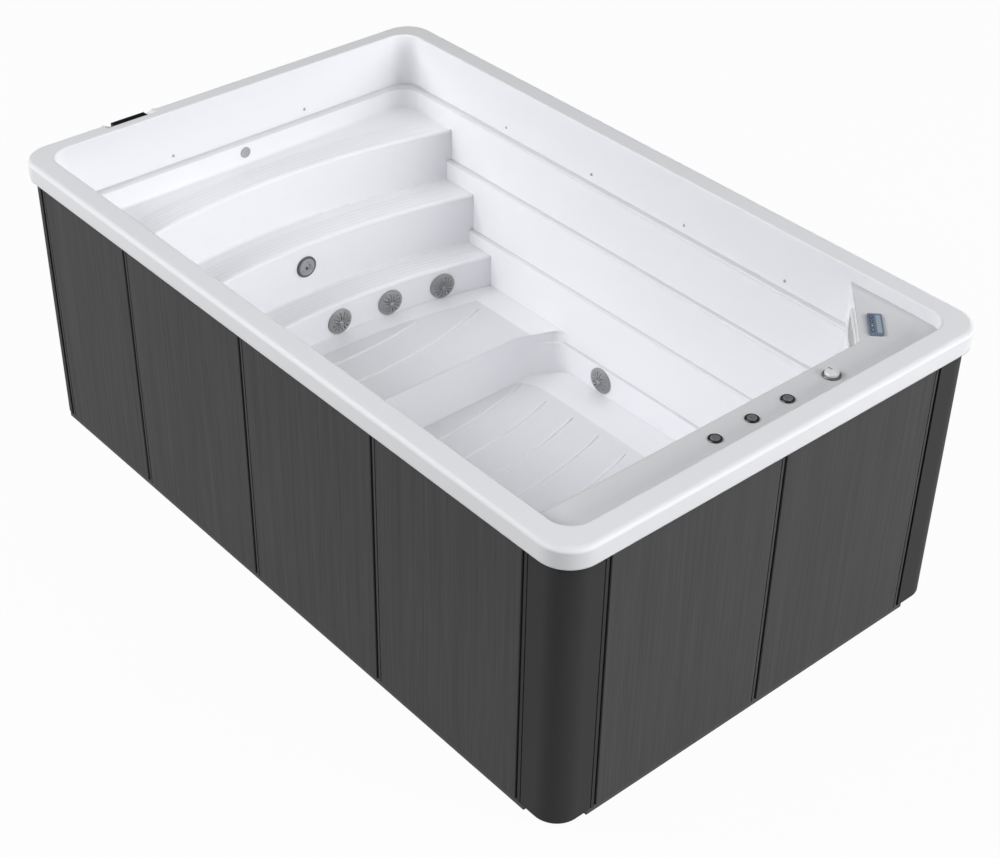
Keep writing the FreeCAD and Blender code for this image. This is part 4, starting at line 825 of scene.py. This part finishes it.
@dataclass
class PoolShell(SubAssembly):
    """The moulded pool: faint lines and smooth nosings on its treads, ribs across its floors, the
    nosings and ribs lighter as a painted highlight.

    A tread is its height, the X of its nosing on the centre line and half the pool's width there. A
    floor is its height, the X of its first rib and half the length of each rib.
    """

    treads: Sequence[Triple] = (
        (1.060, -1.550, 1.038), (0.775, -1.328, 1.011), (0.490, -1.150, 0.990))
    nosing_round: float = 0.014
    nosing_skin: float = 0.0012
    nosing_depth: float = 0.003
    nosing_end: float = 0.003
    nosing_radius: float = 3.6
    nosing_past: float = 0.25
    nosing_dip: float = 1.6
    nosing_steps: int = 20
    nosing_sharpness: float = 1000.0
    line_count: int = 5
    line_first: float = 0.034
    line_pitch: float = 0.027
    line_width: float = 0.016
    line_height: float = 0.0008
    line_depth: float = 0.0006
    line_half_span: float = 0.91
    line_swing: float = 0.05
    line_phase: float = 2.4
    line_sharpness: float = 16.0
    rib_radius: float = 2.5
    rib_pitch: float = 0.194
    rib_width: float = 0.015
    rib_height: float = 0.0048
    lower_floor: tuple[float, float, Sequence[float]] = (0.080, -0.353, (0.725,) * 9)
    upper_floor: tuple[float, float, Sequence[float]] = (0.295, -0.956, (0.487, 0.795))

    def low_round(self, width: float, height: float) -> np.ndarray:
        """A low rounded profile: half the width times cos a, and the height times sin a squared.

        Args:
            width: width of the profile.
            height: height of its crown; its underside is flat and just below the surface.

        Returns:
            Points of shape (around, 2).
        """
        a = np.linspace(0.0, FULL_TURN, PROFILE_STEPS, endpoint=False)
        rise = np.where(np.sin(a) > 0.0, height * np.sin(a) ** 2, -self.line_depth)
        return np.stack([0.5 * width * np.cos(a), rise], axis=-1)

    def nosing_profile(self) -> np.ndarray:
        """A thin skin round a nosing's edge.

        A share s of a quarter turn round the edge, from the riser at 0 to the tread at 1, gives a
        point on a circle of the edge's radius, and past either end a point on the tangent there.
        The skin stands off it by its thickness in the middle and runs under the surface at both
        ends: its share is 1 less the dip times the fourth power of the share of the way from the
        middle to an end. The way back lies inside the wall.

        Returns:
            Points of shape (around, 2): distance behind the riser and height above the tread.
        """
        share = np.linspace(-self.nosing_past, 1.0 + self.nosing_past, self.nosing_steps)
        from_middle = (share - 0.5) / (0.5 + self.nosing_past)
        skin = self.nosing_skin * (1.0 - self.nosing_dip * from_middle ** 4)
        on_edge = np.clip(share, 0.0, 1.0)
        turn = FULL_TURN / 4.0 * on_edge
        past = FULL_TURN / 4.0 * self.nosing_round * (share - on_edge)
        normal = np.stack([-np.cos(turn), np.sin(turn)], axis=-1)
        tangent = np.stack([np.sin(turn), np.cos(turn)], axis=-1)
        base = np.array([self.nosing_round, -self.nosing_round]) + past[:, None] * tangent
        outer = base + (self.nosing_round + skin)[:, None] * normal
        inner = base + (self.nosing_round - self.nosing_depth) * normal
        return np.concatenate([outer, inner[::-1]])

    def tread_lines(self, level: float, nosing: float) -> ArcSet:
        """Lines behind a nosing, round the nosing's own centre and of slightly unlike lengths.

        Args:
            level: Z of the tread.
            nosing: X of the nosing on the centre line.

        Returns:
            The arcs.
        """
        count = np.arange(self.line_count)
        radii = self.nosing_radius + self.line_first + self.line_pitch * count
        centres = np.full(self.line_count, nosing + self.nosing_radius)
        spans = self.line_half_span * (1.0 - self.line_swing * np.sin(self.line_phase * count))
        return ArcSet(level, radii, centres, spans, -1.0)

    def nosing(self, level: float, nosing: float, half_width: float) -> ArcSet:
        """The edge of a tread, from wall to wall and a little way into both.

        Args:
            level: Z of the tread.
            nosing: X of the nosing on the centre line.
            half_width: half the pool's width there.

        Returns:
            The arc.
        """
        centre = np.array([nosing + self.nosing_radius])
        span = np.array([half_width + self.nosing_end])
        return ArcSet(level, np.array([self.nosing_radius]), centre, span, -1.0)

    def floor_ribs(self, level: float, first: float, half_spans: Sequence[float]) -> ArcSet:
        """Ribs at one pitch that bow towards the console end.

        Args:
            level: Z of the floor.
            first: X of the first rib on the centre line.
            half_spans: half the length of each rib across the pool.

        Returns:
            The arcs.
        """
        count = len(half_spans)
        centres = first + self.rib_pitch * np.arange(count) - self.rib_radius
        return ArcSet(level, np.full(count, self.rib_radius), centres, np.array(half_spans), 1.0)

    def build(self) -> None:
        """Lines and a smooth nosing on each tread, and ribs on each floor; nosings and ribs carry a
        painted highlight.
        """
        line = self.low_round(self.line_width, self.line_height)
        edge = self.nosing_profile()
        rib = self.low_round(self.rib_width, self.rib_height)
        for number, (level, nosing, half_width) in enumerate(self.treads, 1):
            points = self.tread_lines(level, nosing).points(line, self.line_sharpness)
            piece = grid_surface(f"tread_lines_{number}", points, closed_columns=True)
            self.keep(piece, TREAD_LINE, Body.SPA, "acrylic")
            points = self.nosing(level, nosing, half_width).points(edge, self.nosing_sharpness)
            piece = grid_surface(f"tread_nosing_{number}", points, closed_columns=True)
            # The nosing's lighter finish is a painted highlight.
            self.keep(piece, RIB_PAINTED_HIGHLIGHT, Body.SPA, "acrylic")
        for name, floor in (("lower", self.lower_floor), ("upper", self.upper_floor)):
            points = self.floor_ribs(*floor).points(rib, self.line_sharpness)
            piece = grid_surface(f"{name}_floor_ribs", points, closed_columns=True)
            self.keep(piece, RIB_PAINTED_HIGHLIGHT, Body.SPA, "acrylic")


@dataclass
class ControlPanel(SubAssembly):
    """Control panel on the filter corner, with a small raised mark on each key.

    The corner is the panel's middle along and across the diagonal that the panel lies on.
    """

    corner: tuple[float, float] = (0.474, 1.7215)
    key_pitch: float = 0.034
    key_across: float = -0.015
    key_top: float = 1.4065
    mark_radius: float = 0.0042
    mark_height: float = 0.0006
    marks: Sequence[Mark] = (Mark.UP, Mark.DOWN, Mark.ROUND, Mark.SQUARE)

    def mark_points(self, mark: Mark, key_along: float) -> np.ndarray:
        """A thin cushion with a polygon's outline, on a key.

        In polar form the outline of an n-sided polygon is cos(pi / n) / cos(angle from the middle
        of a side).

        Args:
            mark: which outline.
            key_along: the key's place along the panel.

        Returns:
            Points of shape (1, from top to underside, around, 3).
        """
        turn = np.linspace(0.0, FULL_TURN, CUSHION_TURNS, endpoint=False)
        outline = np.full_like(turn, self.mark_radius)
        sides = abs(mark.value)
        if sides:
            half = FULL_TURN / sides / 2.0
            outline *= math.cos(half) / np.cos(np.mod(turn, 2.0 * half) - half)
        turn += mark.start()
        points = cushion(outline * np.cos(turn), outline * np.sin(turn), self.mark_height)
        along = points[..., 0] + key_along + self.corner[0]
        across = points[..., 1] + self.key_across + self.corner[1]
        x, y = (along + across) / math.sqrt(2.0), (across - along) / math.sqrt(2.0)
        return np.stack([x, y, points[..., 2] + self.key_top], axis=-1)[None]

    def build(self) -> None:
        """One mark on each key, riding on the key."""
        keys = (Body.KEY_1, Body.KEY_2, Body.KEY_3, Body.KEY_4)
        middle = (len(keys) - 1) / 2.0
        for number, (mark, body) in enumerate(zip(self.marks, keys)):
            points = self.mark_points(mark, (number - middle) * self.key_pitch)
            piece = grid_surface(f"key_mark_{number + 1}", points, closed_columns=True)
            self.keep(piece, KEY_MARK, body, "key_rubber")


@dataclass
class LedgeControls(SubAssembly):
    """Air controls and the diverter on the console ledge, with a dark bar on the knob's grip."""

    mark_middle: Triple = (1.6665, 0.465, 1.4236)
    mark_half: tuple[float, float] = (0.0108, 0.0029)
    mark_height: float = 0.0008

    def mark_points(self) -> np.ndarray:
        """A thin cushion with the outline of a rounded bar.

        The outline is a superellipse of power 4: half a size times the root of cos t or sin t, with
        its sign.

        Returns:
            Points of shape (1, from top to underside, around, 3).
        """
        turn = np.linspace(0.0, FULL_TURN, CUSHION_TURNS, endpoint=False)
        waves = np.stack([np.cos(turn), np.sin(turn)])
        x, y = np.array(self.mark_half)[:, None] * np.sign(waves) * np.sqrt(np.abs(waves))
        return (cushion(x, y, self.mark_height) + np.array(self.mark_middle))[None]

    def build(self) -> None:
        """The dark bar, riding on the knob."""
        piece = grid_surface("diverter_dark_bar", self.mark_points(), closed_columns=True)
        self.keep(piece, CONTROL_RING, Body.DIVERTER, "control_black")


@dataclass(frozen=True)
class Direction:
    """A direction from the spa: degrees round from +X towards +Y, and degrees above the floor."""

    around: float
    above: float

    def vector(self) -> Vector:
        """The direction as a vector.

        Returns:
            A unit vector.
        """
        a, e = math.radians(self.around), math.radians(self.above)
        return Vector((math.cos(a) * math.cos(e), math.sin(a) * math.cos(e), math.sin(e)))


@dataclass
class Lamp:
    """A large soft round lamp that looks at the middle of the spa."""

    name: str
    side: Direction
    power: float
    size: float = 7.0
    distance: float = 15.0
    aim: Triple = (0.0, 0.0, 0.8)

    def build(self) -> None:
        """Add the lamp to the scene."""
        data = bpy.data.lights.new(self.name, "AREA")
        data.shape = "DISK"
        data.size = self.size
        data.energy = self.power
        lamp = bpy.data.objects.new(self.name, data)
        way = self.side.vector()
        lamp.location = Vector(self.aim) + way * self.distance
        lamp.rotation_euler = (-way).to_track_quat("-Z", "Y").to_euler()
        bpy.context.scene.collection.objects.link(lamp)
        LOG.info("lit %s", self.name)


@dataclass
class Studio:
    """Pale floor, even surroundings and soft lamps."""

    floor_size: float = 60.0
    floor_level: float = -0.0005
    floor_colour: Colour = (0.62, 0.62, 0.62)
    floor_roughness: float = 0.9
    floor_specular: float = 0.1
    floor_glow: float = 0.96
    ambient: float = 0.02
    lamps: Sequence[Lamp] = field(default_factory=lambda: (
        Lamp("lamp_left", Direction(228.0, 37.0), 1000.0),
        Lamp("lamp_near", Direction(262.0, 38.0), 805.0),
        Lamp("lamp_right", Direction(20.5, 19.0), 1260.0),
        Lamp("lamp_high", Direction(21.0, 49.0), 630.0),
        Lamp("lamp_back", Direction(98.0, 14.0), 330.0)))

    def sees(self, graph: Graph) -> Socket:
        """Tell what is looked at from light that falls.

        Args:
            graph: the material's nodes.

        Returns:
            A value of 1 for what is seen straight on, in a mirror or through glass, or else 0.
        """
        rays = graph.add("LightPath").outputs
        straight = graph.math("ADD", rays["Is Camera Ray"], rays["Is Glossy Ray"])
        clear = graph.math("ADD", straight, rays["Is Transmission Ray"])
        return graph.math("MINIMUM", clear, 1.0)

    def floor(self) -> None:
        """A flat pale sheet that glows white to the eye and keeps the shadow."""
        span = np.linspace(-0.5, 0.5, 3) * self.floor_size
        x, y = np.meshgrid(span, span, indexing="ij")
        points = np.stack([x, y, np.full_like(x, self.floor_level)], axis=-1)
        piece = grid_surface("studio_floor", points[None])
        graph = Graph("studio_floor_pale")
        graph.set(Base_Color=(*self.floor_colour, 1.0), Roughness=self.floor_roughness,
                  Specular_IOR_Level=self.floor_specular)
        glow = graph.add("Emission", {"Color": (1.0, 1.0, 1.0, 1.0), "Strength": 1.0})
        mix = graph.add("MixShader")
        out = next(node for node in graph.nodes if node.type == "OUTPUT_MATERIAL")
        share = graph.math("MULTIPLY", self.sees(graph), self.floor_glow)
        graph.join(share, mix.inputs["Fac"])
        graph.join(graph.shader.outputs[0], mix.inputs[1])
        graph.join(glow.outputs[0], mix.inputs[2])
        graph.join(mix.outputs[0], out.inputs["Surface"])
        piece.data.materials.append(graph.material)

    def surroundings(self) -> None:
        """White to the eye, and an even soft light for the rest."""
        world = bpy.data.worlds.new("studio_world")
        world.use_nodes = True
        bpy.context.scene.world = world
        nodes, links = world.node_tree.nodes, world.node_tree.links
        back = next(node for node in nodes if node.type == "BACKGROUND")
        path = nodes.new("ShaderNodeLightPath")
        level = nodes.new("ShaderNodeMapRange")
        level.inputs["To Min"].default_value = self.ambient
        level.inputs["To Max"].default_value = 1.0
        back.inputs["Color"].default_value = (1.0, 1.0, 1.0, 1.0)
        links.new(path.outputs["Is Camera Ray"], level.inputs["Value"])
        links.new(level.outputs["Result"], back.inputs["Strength"])

    def build(self) -> None:
        """Floor, surroundings and lamps."""
        self.floor()
        self.surroundings()
        for lamp in self.lamps:
            lamp.build()
        bpy.context.scene.view_settings.view_transform = "Standard"


@dataclass
class PhotoCamera:
    """Camera at the photograph's viewing angle, in degrees; the lens is a share of the sensor."""

    azimuth: float = 48.475
    elevation: float = 36.371
    roll: float = 1.144
    distance: float = 8.66388
    target: Triple = (0.29617, -0.08034, 0.6)
    sensor_width: float = 36.0
    focal_share: float = 1.909605

    def build(self) -> None:
        """Place the camera: back from the target along the angle, then turned by the roll."""
        angles = (self.azimuth, self.elevation, self.roll)
        a, e, r = (math.radians(angle) for angle in angles)
        back = Vector((math.sin(a) * math.cos(e), -math.cos(a) * math.cos(e), math.sin(e)))
        level = Vector((math.cos(a), math.sin(a), 0.0))
        upright = back.cross(level)
        right = level * math.cos(r) + upright * math.sin(r)
        up = upright * math.cos(r) - level * math.sin(r)
        data = bpy.data.cameras.new("photo_camera")
        data.sensor_width = self.sensor_width
        data.lens = self.focal_share * self.sensor_width
        camera = bpy.data.objects.new("photo_camera", data)
        turn = Matrix((right, up, back)).transposed().to_4x4()
        camera.matrix_world = Matrix.Translation(Vector(self.target) + back * self.distance) @ turn
        bpy.context.scene.collection.objects.link(camera)
        bpy.context.scene.camera = camera


def sub_assemblies() -> list[SubAssembly]:
    """Every sub-assembly of the spa.

    Returns:
        The sub-assemblies, in the order in which they are dressed.
    """
    return [
        PoolShell({"acrylic_shell": ACRYLIC, "rim_insert": INSERT}),
        SubAssembly({"far_panel": PANEL, "near_panel": PANEL, "console_end_panel": PANEL,
                     "step_end_panel": PANEL, "corner_post": POST}),
        SubAssembly({"base_": BASE, "bearers": BASE, "frame_": COATED_STEEL}),
        SubAssembly({"suction_cover": COVER, "suction_bodies": FITTING,
                     "suction_cover_screws": STEEL}),
        SubAssembly({"massage_jet_body": JET_RING, "massage_jet_face": JET_FACE,
                     "end_wall_fitting": SMALL_FITTING, "waterline_lights": LENS}),
        SubAssembly({"swim_jet_bodies": FITTING, "swim_jet_nozzle": CHROME}),
        LedgeControls({"air_control_bodies": CONTROL_RING, "air_control_cap": CONTROL_CAP,
                       "diverter_body": DIVERTER_RING, "diverter_knob": DIVERTER_KNOB}),
        ControlPanel({"panel_housing": PANEL_CASE, "panel_screen": SCREEN, "panel_key": KEY}),
        SubAssembly({"skimmer_housing": SKIMMER, "weir_flap": WEIR, "filter_cartridge": MEDIA}),
        SubAssembly({"swim_pump": PUMP, "swim_pump_near_rotor": ROTOR,
                     "swim_pump_far_rotor": ROTOR, "suction_line": PIPE, "pressure_line": PIPE,
                     "equipment_box": EQUIPMENT}),
    ]


def main() -> None:
    """Dress every sub-assembly, make its extra pieces, and set up the studio and the camera."""
    logging.basicConfig(level=logging.INFO, format="%(name)s: %(message)s")
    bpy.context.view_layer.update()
    for assembly in sub_assemblies():
        assembly.dress()
        assembly.build()
    Studio().build()
    PhotoCamera().build()
    bpy.context.view_layer.update()


if __name__ == "__main__":
    main()
